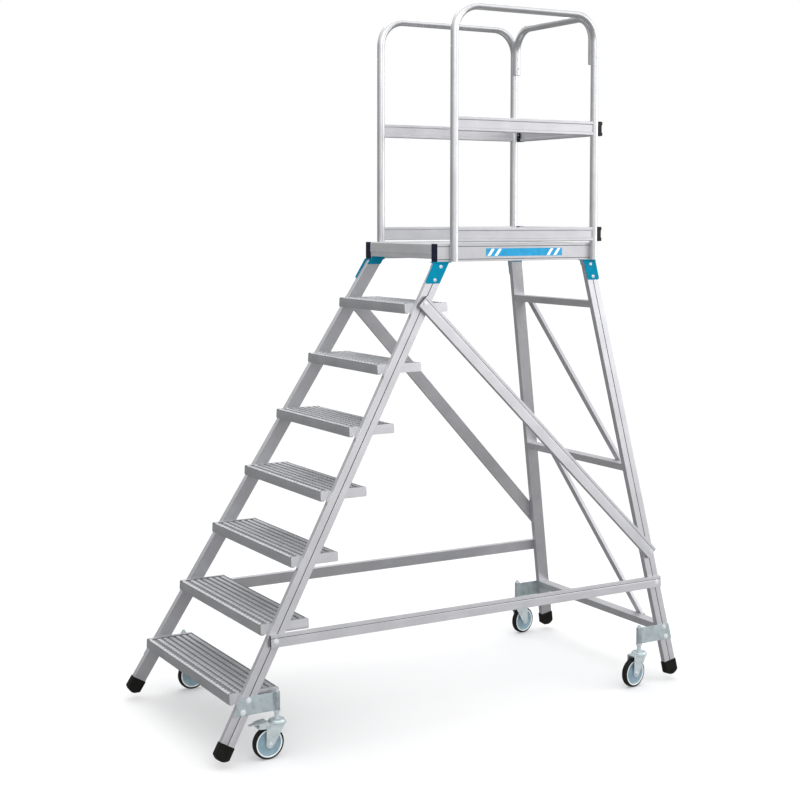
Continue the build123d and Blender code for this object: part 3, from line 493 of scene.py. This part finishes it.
def soften(bm, width):
    """Round the sharp edges of what is in the mesh."""
    bmesh.ops.bevel(bm, geom=sharp_edges(bm), offset=width * MM, segments=2, profile=0.5, affect="EDGES",
                    clamp_overlap=True)


# ---------------------------------------------------------------- treads and deck
# outlines are in millimetres, so these six are too
TOOTH_DEPTH = 2.0
FLOOR_DEPTH = 4.8
RIB_PITCH = 28
NOSING_WIDTH = 22
PLANK_THICK = 30
FLUTE_DEPTH = 0.9

TOOTH_PITCH = 27 * MM
FLUTE_PITCH = 2.6 * MM
PLANK_GAP = 0.5 * MM
TREAD_END_GAP = 3.2 * MM                       # between a tread's end and the stile, filled by the cheek
RIB_COUNT = 6
PLANK_COUNT = 4


def rib_outline(start):
    """Trapezoid ribs as (x, z, tooth depth) in millimetres, seen from the end."""
    half = [(9.5, -FLOOR_DEPTH, 0), (8.3, -1.4, TOOTH_DEPTH * 0.6), (6.5, 0, TOOTH_DEPTH)]
    points = []
    for i in range(RIB_COUNT):
        middle = start + i * RIB_PITCH
        points += [(middle - x, z, depth) for x, z, depth in half]
        points += [(middle + x, z, depth) for x, z, depth in reversed(half)]
    return points


def slice_count(half):
    """Even number of slices that gives four to each tooth along twice the half length."""
    return 2 * max(2, round(2 * half / (TOOTH_PITCH / 4) / 2))


def toothed_extrusion(bm, origin, outline, inset, ends):
    """Extrude an outline across the ladder. Its marked points rise and fall to make teeth.

    ends(z) gives the half length at a height, so the ends lean with the stiles.
    """
    slices = slice_count(ends(origin.z) - inset)
    rows = []
    for i in range(slices + 1):
        share = 2 * i / slices - 1
        low = (i % 4) in (1, 2)
        ended = i <= 2 or i >= slices - 2
        row = []
        for x, z, depth in outline:
            if depth and ended:
                z = -FLOOR_DEPTH
            height = origin.z + (z - (depth if low and not ended else 0)) * MM
            row.append(Vector((origin.x + x * MM, share * (ends(height) - inset), height)))
        rows.append(row)
    add_grid(bm, rows)


def tread_outline():
    depth = TREAD_DEPTH / MM
    top = [(1.2, -1.6, 1.8), (2.6, 0.2, 3.6), (7.5, 0.6, 4.0), (12.5, 0.2, 3.6), (14.5, -1.6, 1.6),
           (16.5, -FLOOR_DEPTH, 0), (NOSING_WIDTH, -FLOOR_DEPTH, 0)]
    ribs = rib_outline(NOSING_WIDTH + 22)
    back = [(depth - 1.0, -3.0, 0), (depth, -4.0, 0), (depth, -37.2, 0), (depth - 0.8, -38, 0),
            (depth - 16, -38, 0), (depth - 16, -35.5, 0), (depth - 3.5, -35.5, 0), (depth - 3.5, -7, 0)]
    under = [(138.5, -7, 0), (138.5, -30, 0), (136, -30, 0), (136, -7, 0),
             (68.5, -7, 0), (68.5, -30, 0), (66, -30, 0), (66, -7, 0)]
    lip = [(7, -7, 0), (4.5, -10, 0), (3.8, -39, 0), (16, -39, 0), (16, -42, 0), (2.0, -42, 0),
           (0.6, -41, 0), (0, -39.5, 0), (0, -6.2, 0), (0.3, -3.6, 0.4)]
    return top + ribs + back + under + lip


def ribbed_tones(top):
    """Lighter tops of the ribs as painted highlight, and darker floors between them as painted shade, below
    the given top.
    """
    def is_top(face):
        return face.center.z > top - 1.2 * MM

    def is_floor(face):
        return top - 6.0 * MM < face.center.z <= top - 2.7 * MM and face.normal.z > 0.1
    return [("rib", is_top), ("groove", is_floor)]


def treads():
    for i in range(TREAD_COUNT):
        bm = bmesh.new()
        origin = FIRST_TREAD + Vector((STEP_RUN, 0, STEP_RISE)) * i
        toothed_extrusion(bm, origin, tread_outline(), TREAD_END_GAP, half_width)
        finish_mesh(f"tread_{i + 1}_look", mesh_from(bm), "tread",
                    replaces=(f"tread_{i + 1}",), angle=24, extra=ribbed_tones(origin.z))


def nosing_glints():
    """Painted highlight on the teeth of every nosing: a thin bright cap on each."""
    bm = bmesh.new()
    for i in range(TREAD_COUNT):
        origin = FIRST_TREAD + Vector((STEP_RUN, 0, STEP_RISE)) * i
        half = half_width(origin.z) - TREAD_END_GAP
        slices = slice_count(half)
        step = 2 * half / slices
        for k in range(4, slices - 2, 4):
            y = -half + (k - 0.5) * step
            block(bm, origin + Vector((7.0 * MM, y, -0.6 * MM)), Vector((5.6 * MM, 0, 0)),
                  Vector((0, step * 1.05, 0)), Vector((0, 0, 1.9 * MM)))
    soften(bm, 0.6)
    finish_mesh("nosing_teeth", mesh_from(bm), "tooth")


def deck():
    """Toothed ribbed planks between the nosing and the rear beam."""
    low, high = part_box("deck_planks")
    width = (high.x - low.x + PLANK_GAP) / PLANK_COUNT
    end = (width - PLANK_GAP) / MM
    chamfer = 0.8
    outline = [(0, -FLOOR_DEPTH - chamfer, 0), (chamfer, -FLOOR_DEPTH, 0)]
    outline += rib_outline((width / MM - (RIB_COUNT - 1) * RIB_PITCH) / 2)
    outline += [(end - chamfer, -FLOOR_DEPTH, 0), (end, -FLOOR_DEPTH - chamfer, 0), (end, -PLANK_THICK, 0),
                (0, -PLANK_THICK, 0)]
    bm = bmesh.new()
    for i in range(PLANK_COUNT):
        origin = Vector((low.x + i * width, 0, PLATFORM_Z))
        toothed_extrusion(bm, origin, outline, 0, lambda z: high.y)
    finish_mesh("deck_planks_look", mesh_from(bm), "tread", replaces=("deck_planks",),
                angle=24, extra=ribbed_tones(PLATFORM_Z))


def platform_nosing():
    """Front edge of the platform: fine upright flutes on its face and a plain lower lip."""
    low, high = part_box("platform_nosing")
    flutes = round(2 * high.y / FLUTE_PITCH)
    outline = [(0, -2.5, 1), (0, -37, 1), (0, -39.0, 0), (2.6, -39.6, 0), (2.6, -60, 0), (3.6, -61, 0),
               (19, -61, 0), (20, -60, 0), (20, -58.5, 0), (6.5, -58, 0), (6.5, -38, 0), (4, -36, 0),
               (4, -7, 0), (37, -6, 0), (37, -30, 0), (40, -30, 0), (40, -2.6, 0), (39.4, -2, 0),
               (27, -2, 0), (26, 0, 0), (3.0, 0, 0), (0.8, -0.8, 0)]
    rows = []
    for i in range(flutes + 1):
        y = low.y + (high.y - low.y) * i / flutes
        inset = FLUTE_DEPTH if i % 2 or min(i, flutes - i) < 3 else 0.0
        rows.append([Vector((PLATFORM_FRONT_X + (x + inset * mark) * MM, y, PLATFORM_Z + z * MM))
                     for x, z, mark in outline])
    bm = bmesh.new()
    add_grid(bm, rows)
    finish_mesh("platform_nosing_look", mesh_from(bm), "nosing",
                replaces=("platform_nosing",), angle=24)


# ---------------------------------------------------------------- guard rail tubes
def tube_piece(node, corners, bend, cutters=()):
    """The bent tube of a CAD node, coped by the cutters."""
    points = rounded_path(corners, bend)
    bm = bmesh.new()
    swept_tube(bm, points, TUBE_R)
    mesh = mesh_from(bm)
    add_length_uv(mesh, points)
    piece = finish_mesh(f"{node}_look", mesh, "tube", replaces=(node,), angle=40)
    for cutter in cutters:
        boolean = piece.modifiers.new("cope", "BOOLEAN")
        boolean.operation = "DIFFERENCE"
        boolean.solver = "EXACT"
        boolean.object = cutter
    if cutters:
        graph = bpy.context.evaluated_depsgraph_get()
        shaped = bpy.data.meshes.new_from_object(piece.evaluated_get(graph))
        piece.modifiers.clear()
        piece.data = shaped
        shaped.set_sharp_from_angle(angle=math.radians(40))


def guard_rails():
    """Two side handrails, and the rear guard whose legs are coped to the rear posts."""
    post_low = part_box("handrail_right")[0].z
    cutter_low, cutter_reach, cutter_gap = 2.6, 0.3, 0.15 * MM
    for side, name in ((-1, "right"), (1, "left")):
        y = side * POST_Y
        corners = [(POST_FRONT_X, y, post_low), (POST_FRONT_X, y, RAIL_Z), (POST_REAR_X, y, RAIL_Z),
                   (POST_REAR_X, y, post_low)]
        tube_piece(f"handrail_{name}", corners, TUBE_BEND)
    cutters = []
    for side in (-1, 1):
        bm = bmesh.new()
        y = side * POST_Y
        points = rounded_path([(POST_REAR_X, y, cutter_low), (POST_REAR_X, y, RAIL_Z),
                               (POST_REAR_X - cutter_reach, y, RAIL_Z)], TUBE_BEND)
        swept_tube(bm, points, TUBE_R + cutter_gap)
        cutter = bpy.data.objects.new("cutter", mesh_from(bm))
        bpy.context.scene.collection.objects.link(cutter)
        cutters.append(cutter)
    leg_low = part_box("rear_guard")[0].z
    y = GUARD_LEG_Y
    corners = [(POST_REAR_X, -y, leg_low), (POST_REAR_X, -y, RAIL_Z), (POST_REAR_X, y, RAIL_Z),
               (POST_REAR_X, y, leg_low)]
    tube_piece("rear_guard", corners, GUARD_BEND, cutters)
    for cutter in cutters:
        bpy.data.objects.remove(cutter)


# ---------------------------------------------------------------- castors
def castor_frame(name):
    """Where a castor's own coordinates lie in the frame."""
    x, side, heading = CASTORS[name]
    return Matrix.Translation((x, side * CASTOR_Y, 0)) @ Matrix.Rotation(math.radians(heading), 4, "Z")


def wheel_parts(name):
    """Tyre with two shallow grooves, pale rim ring and dished wheel centre with a hub."""
    place = castor_frame(name)
    body = f"wheel_{name}"
    half, rim, r = 14.0, 54.0, WHEEL_R / MM
    tread = [(rim, 12.2), (rim + 1.6, half), (r - 5, half), (r - 1.4, half - 3.2), (r - 0.2, 6.6),
             (r - 1.1, 6.0), (r - 1.1, 5.2), (r, 4.6)]
    tyre = [(x, -y) for x, y in tread] + tread[::-1]
    ring = [(rim - 0.05, -12.1), (rim - 0.05, 12.1), (53.2, 13.2), (51.6, 13.5), (49.4, 12.7), (48.4, 10.6),
            (48.4, -10.6), (49.4, -12.7), (51.6, -13.5), (53.2, -13.2)]
    side = [(4.1, 17.4), (11.4, 17.4), (12.6, 16.6), (13.4, 12.0), (15.4, 9.6), (19, 8.6), (36, 6.0),
            (42.5, 6.6), (46.5, 9.6), (48.35, 10.5)]
    centre = side + [(x, -y) for x, y in reversed(side)]
    for part, outline, material, slot, replaces in (
            ("tyre", tyre, "tyre", "tyre_rubber", (f"castor_tyre_{name}",)),
            ("rim_ring", ring, "ring", "wheel_plastic", ()),
            ("wheel", centre, "wheel", "wheel_plastic", (f"castor_wheel_{name}",))):
        bm = bmesh.new()
        lathe(bm, outline, (0, 0, 0), (0, 1, 0))
        bmesh.ops.transform(bm, matrix=place @ Matrix.Translation((-WHEEL_TRAIL, 0, WHEEL_R)), verts=bm.verts)
        finish_mesh(f"castor_{part}_{name}_look", mesh_from(bm), material, body, replaces)


def swivel_parts(name):
    """Race ring round the swivel, and axle washers on the fork's legs."""
    place = castor_frame(name)
    bm = bmesh.new()
    race = [(27.0, 149.2), (29.8, 148.2), (31.5, 145.8), (31.8, 143.4), (30.2, 141.6), (26.0, 142.5),
            (25.5, 147.0)]
    lathe(bm, race, (0, 0, 0), (0, 0, 1), 72)
    for side in (-1, 1):
        washer = [(4.2, 21.7), (10.5, 21.7), (10.8, 22.3), (10.2, 22.9), (4.2, 22.9)]
        lathe(bm, [(x, side * y) for x, y in washer], (-WHEEL_TRAIL, 0, WHEEL_R), (0, 1, 0), 40)
    bmesh.ops.transform(bm, matrix=place, verts=bm.verts)
    finish_mesh(f"castor_race_{name}", mesh_from(bm), "zinc", f"swivel_{name}")


BEAD_R = 2.3 * MM
BEAD_PITCH = 4.6
BEAD_COUNT = 13
WELD_LOW = 188
WELD_OUT = 13.1 * MM                           # keeps the beads out of the sleeve's bore


def bead(bm, place, seed):
    """One flattened bead of a weld, a little larger or smaller by its seed."""
    radius = BEAD_R * (1 + 0.18 * math.sin(seed))
    bmesh.ops.create_icosphere(bm, subdivisions=2, radius=radius,
                               matrix=Matrix.Translation(place) @ Matrix.Diagonal((1, 1, 0.7, 1)))


def sleeve_parts():
    """Cap nut and washer on top of each castor sleeve, a collar at its foot and weld beads to its plate."""
    bm, welds = bmesh.new(), bmesh.new()
    washer = [(6.0, 257.2), (7.6, 257.2), (7.8, 258.2), (7.4, 259.2), (0.1, 259.2), (0.1, 257.2)]
    nut_r, nut_z = 6.4 * MM, (259.2 * MM, 264.0 * MM)
    collar = [(9.4, 178.1), (13.2, 178.1), (13.8, 178.9), (13.8, 182.0), (13.0, 183.0), (12.2, 183.0),
              (12.2, 179.8), (9.4, 179.8)]
    plate_off = half_width(0.216) + STILE_THICK + 2.5 * MM
    for x, side, _ in CASTORS.values():
        centre = Vector((x, side * CASTOR_Y, 0))
        lathe(bm, washer, centre, (0, 0, 1), 40)
        made = add_grid(bm, [[centre + Vector((nut_r * math.cos(a), nut_r * math.sin(a), z))
                              for a in (math.pi / 3 * k for k in range(6))] for z in nut_z])
        edges = {e for row in made for v in row for e in v.link_edges}
        bmesh.ops.bevel(bm, geom=list(edges), offset=0.5 * MM, segments=2, affect="EDGES", clamp_overlap=True)
        lathe(bm, collar, centre, (0, 0, 1), 56)
        toward = -1 if x < 0 else 1
        for face in (-1, 1):
            out = Vector((toward * 11.2 * MM, side * (plate_off + face * 4.2 * MM) - centre.y, 0))
            out.length = max(out.length, WELD_OUT)
            for k in range(BEAD_COUNT):
                bead(welds, centre + out + Vector((0, 0, (WELD_LOW + k * BEAD_PITCH) * MM)), k + x)
    finish_mesh("castor_sleeve_caps", mesh_from(bm), "zinc")
    finish_mesh("castor_weld_beads", mesh_from(welds), "weld")


def spring_look(name):
    """The CAD spring, darkened, on a mesh of its own."""
    spring = NODES[f"castor_spring_{name}"]
    spring.data.materials.clear()
    spring.data.materials.append(MAT["spring"])
    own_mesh(spring)


# ---------------------------------------------------------------- fasteners
def islands(node):
    """The separate solids of a CAD node, each as its list of points."""
    bm = bmesh.new()
    bm.from_mesh(NODES[node].data)
    bmesh.ops.remove_doubles(bm, verts=bm.verts, dist=SAME_POINT)
    seen, groups = set(), []
    for start in bm.verts:
        if start in seen:
            continue
        stack, group = [start], []
        seen.add(start)
        while stack:
            v = stack.pop()
            group.append(v.co.copy())
            for e in v.link_edges:
                other = e.other_vert(v)
                if other not in seen:
                    seen.add(other)
                    stack.append(other)
        groups.append(group)
    bm.free()
    return groups


SCREW_LENGTH = 20 * MM                         # fasteners shorter than this are screws, not bolts


def head_detail():
    """Washers under the side frames' bolt heads, and pan heads on the joint brackets' screws with black
    crossed bars as painted shade for their slots.
    """
    washers, slots = bmesh.new(), bmesh.new()
    flat = [(4.2, 0.05), (10.6, 0.05), (11.0, 0.7), (10.4, 1.35), (4.2, 1.35)]
    pan = [(0.05, 4.2), (3.6, 4.1), (6.2, 3.6), (7.3, 2.6), (7.6, 0.05), (0.05, 0.05)]
    for group in islands("frame_fasteners"):
        middle = sum(group, Vector()) / len(group)
        side = -1 if middle.y < 0 else 1
        normal = Vector((0, side, SPLAY)).normalized()
        if middle.z > PLATFORM_Z:
            continue
        far = max(p.dot(normal) for p in group)
        cap = [p for p in group if far - p.dot(normal) < 0.2 * MM]
        top = sum(cap, Vector()) / len(cap)
        length = far - min(p.dot(normal) for p in group)
        if length < SCREW_LENGTH:
            lathe(washers, pan, top - normal * 3.0 * MM, normal, 40)
            for turn in (math.pi / 4, -math.pi / 4):
                u = Matrix.Rotation(turn, 3, normal) @ Vector((1, 0, 0))
                w = normal.cross(u)
                # black bar on the pan head: painted shade standing for the cross slot
                block(slots, top + normal * 1.1 * MM, u * 3.4 * MM, w * 0.7 * MM, normal * 0.25 * MM)
        else:
            lathe(washers, flat, top - normal * 5.0 * MM, normal, 44)
    finish_mesh("bolt_washers", mesh_from(washers), "bolt")
    finish_mesh("screw_slot_painted_shade", mesh_from(slots), "black")


RIVET_SEAT = 3.05 * MM                         # from a stile's inner face to the cheek's


def tread_rivets():
    """Two domed rivets through each stile into each tread's cheek."""
    bm = bmesh.new()
    dome = [(0.05, 1.9), (1.6, 1.75), (3.1, 1.25), (4.2, 0.5), (4.6, 0.0), (0.05, 0.0)]
    for i in range(TREAD_COUNT):
        for drop, shift in ((14 * MM, -12 * MM), (28 * MM, 8 * MM)):
            z = FIRST_TREAD.z + i * STEP_RISE - drop
            x = FRONT_FOOT_X + FRONT_SLOPE * z + shift
            for side in (-1, 1):
                normal = Vector((0, -side, -SPLAY)).normalized()
                inner = Vector((x, side * (half_width(z) - RIVET_SEAT), z))
                lathe(bm, dome, inner, normal, 24)
    finish_mesh("tread_rivets", mesh_from(bm), "bolt")


# ---------------------------------------------------------------- labels
LABEL_X = (201.1 * MM, 594.1 * MM)
LABEL_Z = (1888 * MM, 1921.5 * MM)
LABEL_ROUND = 2 * MM
LABEL_BARS = (7, 43, 311, 347)                 # where each slanted bar's foot starts, in millimetres
BAR_WIDTH = 15 * MM
BAR_LEAN = 22 * MM


def labels():
    """Plain blue strip with white slanted bars at its ends, on the outer face of each side profile."""
    face_y = abs(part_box("platform_side_right")[0].y)
    (x0, x1), (z0, z1), r = LABEL_X, LABEL_Z, LABEL_ROUND
    blue, white = bmesh.new(), bmesh.new()
    outline = []
    for cx, cz, start in ((x1 - r, z1 - r, 0), (x0 + r, z1 - r, 90),
                          (x0 + r, z0 + r, 180), (x1 - r, z0 + r, 270)):
        for k in range(5):
            a = math.radians(start + 22.5 * k)
            outline.append((cx + r * math.cos(a), cz + r * math.sin(a)))
    for side in (-1, 1):
        y = side * face_y
        rows = [[Vector((x, y + side * d, z)) for x, z in outline] for d in (0.02 * MM, 0.22 * MM)]
        add_grid(blue, rows)
        for start in LABEL_BARS:
            foot, head = x0 + start * MM, x0 + start * MM + BAR_LEAN
            bar = [(foot, z0 + r), (foot + BAR_WIDTH, z0 + r), (head + BAR_WIDTH, z1 - r), (head, z1 - r)]
            rows = [[Vector((x, y + side * d, z)) for x, z in bar] for d in (0.2 * MM, 0.34 * MM)]
            add_grid(white, rows)
    finish_mesh("label_strip", mesh_from(blue), "label_blue")
    finish_mesh("label_bars", mesh_from(white), "label_white")


# ---------------------------------------------------------------- pieces
treads()
nosing_glints()
deck()
platform_nosing()
guard_rails()
for hand in ("left", "right"):
    refined(f"front_stile_{hand}", "front_stile", 1.2, segments=3, grooved=True)
    refined(f"rear_stile_{hand}", "rear_stile", 1.2, segments=3, grooved=True)
    refined(f"platform_side_{hand}", "lengthways", 0.6, grooved=True)
for node, material, width in (("side_knee_rails", "lengthways", 0.5), ("side_toe_boards", "lengthways", 0.5),
                              ("rear_rails", "across", 0.5), ("platform_rear_beam", "across", 0.8),
                              ("cross_members", "across", 0.8), ("rear_diagonals", "rear_diagonal", 0.8)):
    refined(node, material, width)
refined("diagonal_braces", "diagonal", 0.8, grooved=True)
refined("horizontal_braces", "lengthways", 0.8, grooved=True)
refined("tread_cheeks", "lengthways", 0.5)
refined("foot_caps", "foot", 1.2, segments=3)
refined("platform_end_caps", "navy", 0.8)
refined("rail_end_caps", "black", 0.5)
refined("joint_brackets", "blue", 0.8)
refined("castor_brackets_front", "zinc_plate", 0.7)
refined("castor_brackets_rear", "zinc_plate", 0.7)
refined("frame_fasteners", "bolt", 0.4)
for castor in CASTORS:
    wheel_parts(castor)
    swivel_parts(castor)
    refined(f"castor_fork_{castor}", "zinc", 0.8, f"swivel_{castor}")
    refined(f"castor_axle_{castor}", "bolt", 0.4, f"swivel_{castor}")
    refined(f"castor_stem_{castor}", "zinc", 0.5, f"plunger_{castor}")
    spring_look(castor)
for castor in ("front_right", "front_left"):
    refined(f"brake_pedal_{castor}", "zinc", 0.6, f"pedal_{castor}")
sleeve_parts()
head_detail()
tread_rivets()
labels()


# ---------------------------------------------------------------- stage, light and camera
def studio():
    """A pale floor large enough to meet the white surround out of sight."""
    bm = bmesh.new()
    reach = 60
    add_grid(bm, [[Vector((x, y, 0)) for y in (-reach, 0, reach)] for x in (-reach, 0, reach)],
             close_columns=False, cap_ends=False)
    mesh = mesh_from(bm, False)
    mesh.materials.append(floor_material())
    floor = bpy.data.objects.new("studio_floor", mesh)
    floor.visible_glossy = False
    bpy.context.scene.collection.objects.link(floor)


def area_light(name, place, target, size, power):
    """A white rectangle of light at place, turned to shine on target."""
    light = bpy.data.lights.new(name, "AREA")
    light.shape = "RECTANGLE"
    light.size, light.size_y = size
    light.energy = power
    lamp = bpy.data.objects.new(name, light)
    lamp.location = place
    lamp.rotation_euler = (Vector(target) - Vector(place)).to_track_quat("-Z", "Y").to_euler()
    bpy.context.scene.collection.objects.link(lamp)


def mixed_values(tree, factor, a, b):
    """Mix two numbers, each given as an output or a plain number."""
    node = tree.nodes.new("ShaderNodeMix")
    for socket, value in zip((node.inputs[0], node.inputs[2], node.inputs[3]), (factor, a, b)):
        if isinstance(value, float):
            socket.default_value = value
        else:
            tree.links.new(value, socket)
    return node.outputs[0]


BRIGHT_SIDE = (0.5, -0.866, 0)                 # where the surround glows most at eye level
GLOW_BACK = 0.28                               # strength away from the bright side
GLOW_FRONT = 1.34                              # and towards it
GLOW_BELOW = 0.26
GLOW_ABOVE = 0.98


def world_light():
    """Studio surround: white to look at, but its light is strongest above and on the bright side."""
    world = bpy.data.worlds.new("studio")
    world.use_nodes = True
    bpy.context.scene.world = world
    tree = world.node_tree
    background = tree.nodes["Background"]
    ray = tree.nodes.new("ShaderNodeTexCoord").outputs["Generated"]
    split = tree.nodes.new("ShaderNodeSeparateXYZ")
    tree.links.new(ray, split.inputs[0])
    bright_side = tree.nodes.new("ShaderNodeVectorMath")
    bright_side.operation = "DOT_PRODUCT"
    bright_side.inputs[1].default_value = BRIGHT_SIDE
    tree.links.new(ray, bright_side.inputs[0])
    facing, height = bright_side.outputs["Value"], split.outputs["Z"]
    horizon = ranged(tree, facing, GLOW_BACK, GLOW_FRONT, -0.7, 0.8)
    low = mixed_values(tree, ranged(tree, height, 0.0, 1.0, -0.18, 0.07), GLOW_BELOW, horizon)
    glow = mixed_values(tree, ranged(tree, height, 0.0, 1.0, 0.05, 0.65), low, GLOW_ABOVE)
    seen = tree.nodes.new("ShaderNodeLightPath").outputs["Is Camera Ray"]
    tree.links.new(mixed_values(tree, seen, glow, 1.0), background.inputs["Strength"])
    background.inputs["Color"].default_value = (1, 1, 1, 1)


CAMERA_PLACE = Vector((-3.2456, -5.5043, 2.0493))
CAMERA_YAW = math.radians(59.788)          # from +X towards +Y
CAMERA_PITCH = math.radians(3.261)         # downwards
CAMERA_ROLL = math.radians(0.055)
LENS_IN_WIDTHS = 1.8602125                     # focal length, in picture widths
SHIFT_UP = -0.121875                           # in picture widths


def camera():
    lens = bpy.data.cameras.new("camera")
    lens.sensor_width = 36
    lens.lens = 36 * LENS_IN_WIDTHS
    lens.shift_y = SHIFT_UP
    view = bpy.data.objects.new("camera", lens)
    level = math.cos(CAMERA_PITCH)
    ahead = Vector((math.cos(CAMERA_YAW) * level, math.sin(CAMERA_YAW) * level, -math.sin(CAMERA_PITCH)))
    right = Vector((math.sin(CAMERA_YAW), -math.cos(CAMERA_YAW), 0))
    turn = Matrix((right, right.cross(ahead), -ahead)).transposed() @ Matrix.Rotation(CAMERA_ROLL, 3, "Z")
    view.matrix_world = Matrix.Translation(CAMERA_PLACE) @ turn.to_4x4()
    bpy.context.scene.collection.objects.link(view)
    bpy.context.scene.camera = view


studio()
area_light("key", (-1.5, -5.5, 5.5), (0, 0, 1.2), (5.0, 4.0), 84)
area_light("top", (1.0, 1.5, 6.5), (0, 0, 1.0), (5.0, 5.0), 110)
area_light("right_fill", (5.5, -3.0, 2.8), (0, 0, 1.3), (3.0, 3.5), 60)
world_light()
camera()
bpy.context.scene.view_settings.view_transform = "Standard"
bpy.context.scene.view_settings.look = "None"
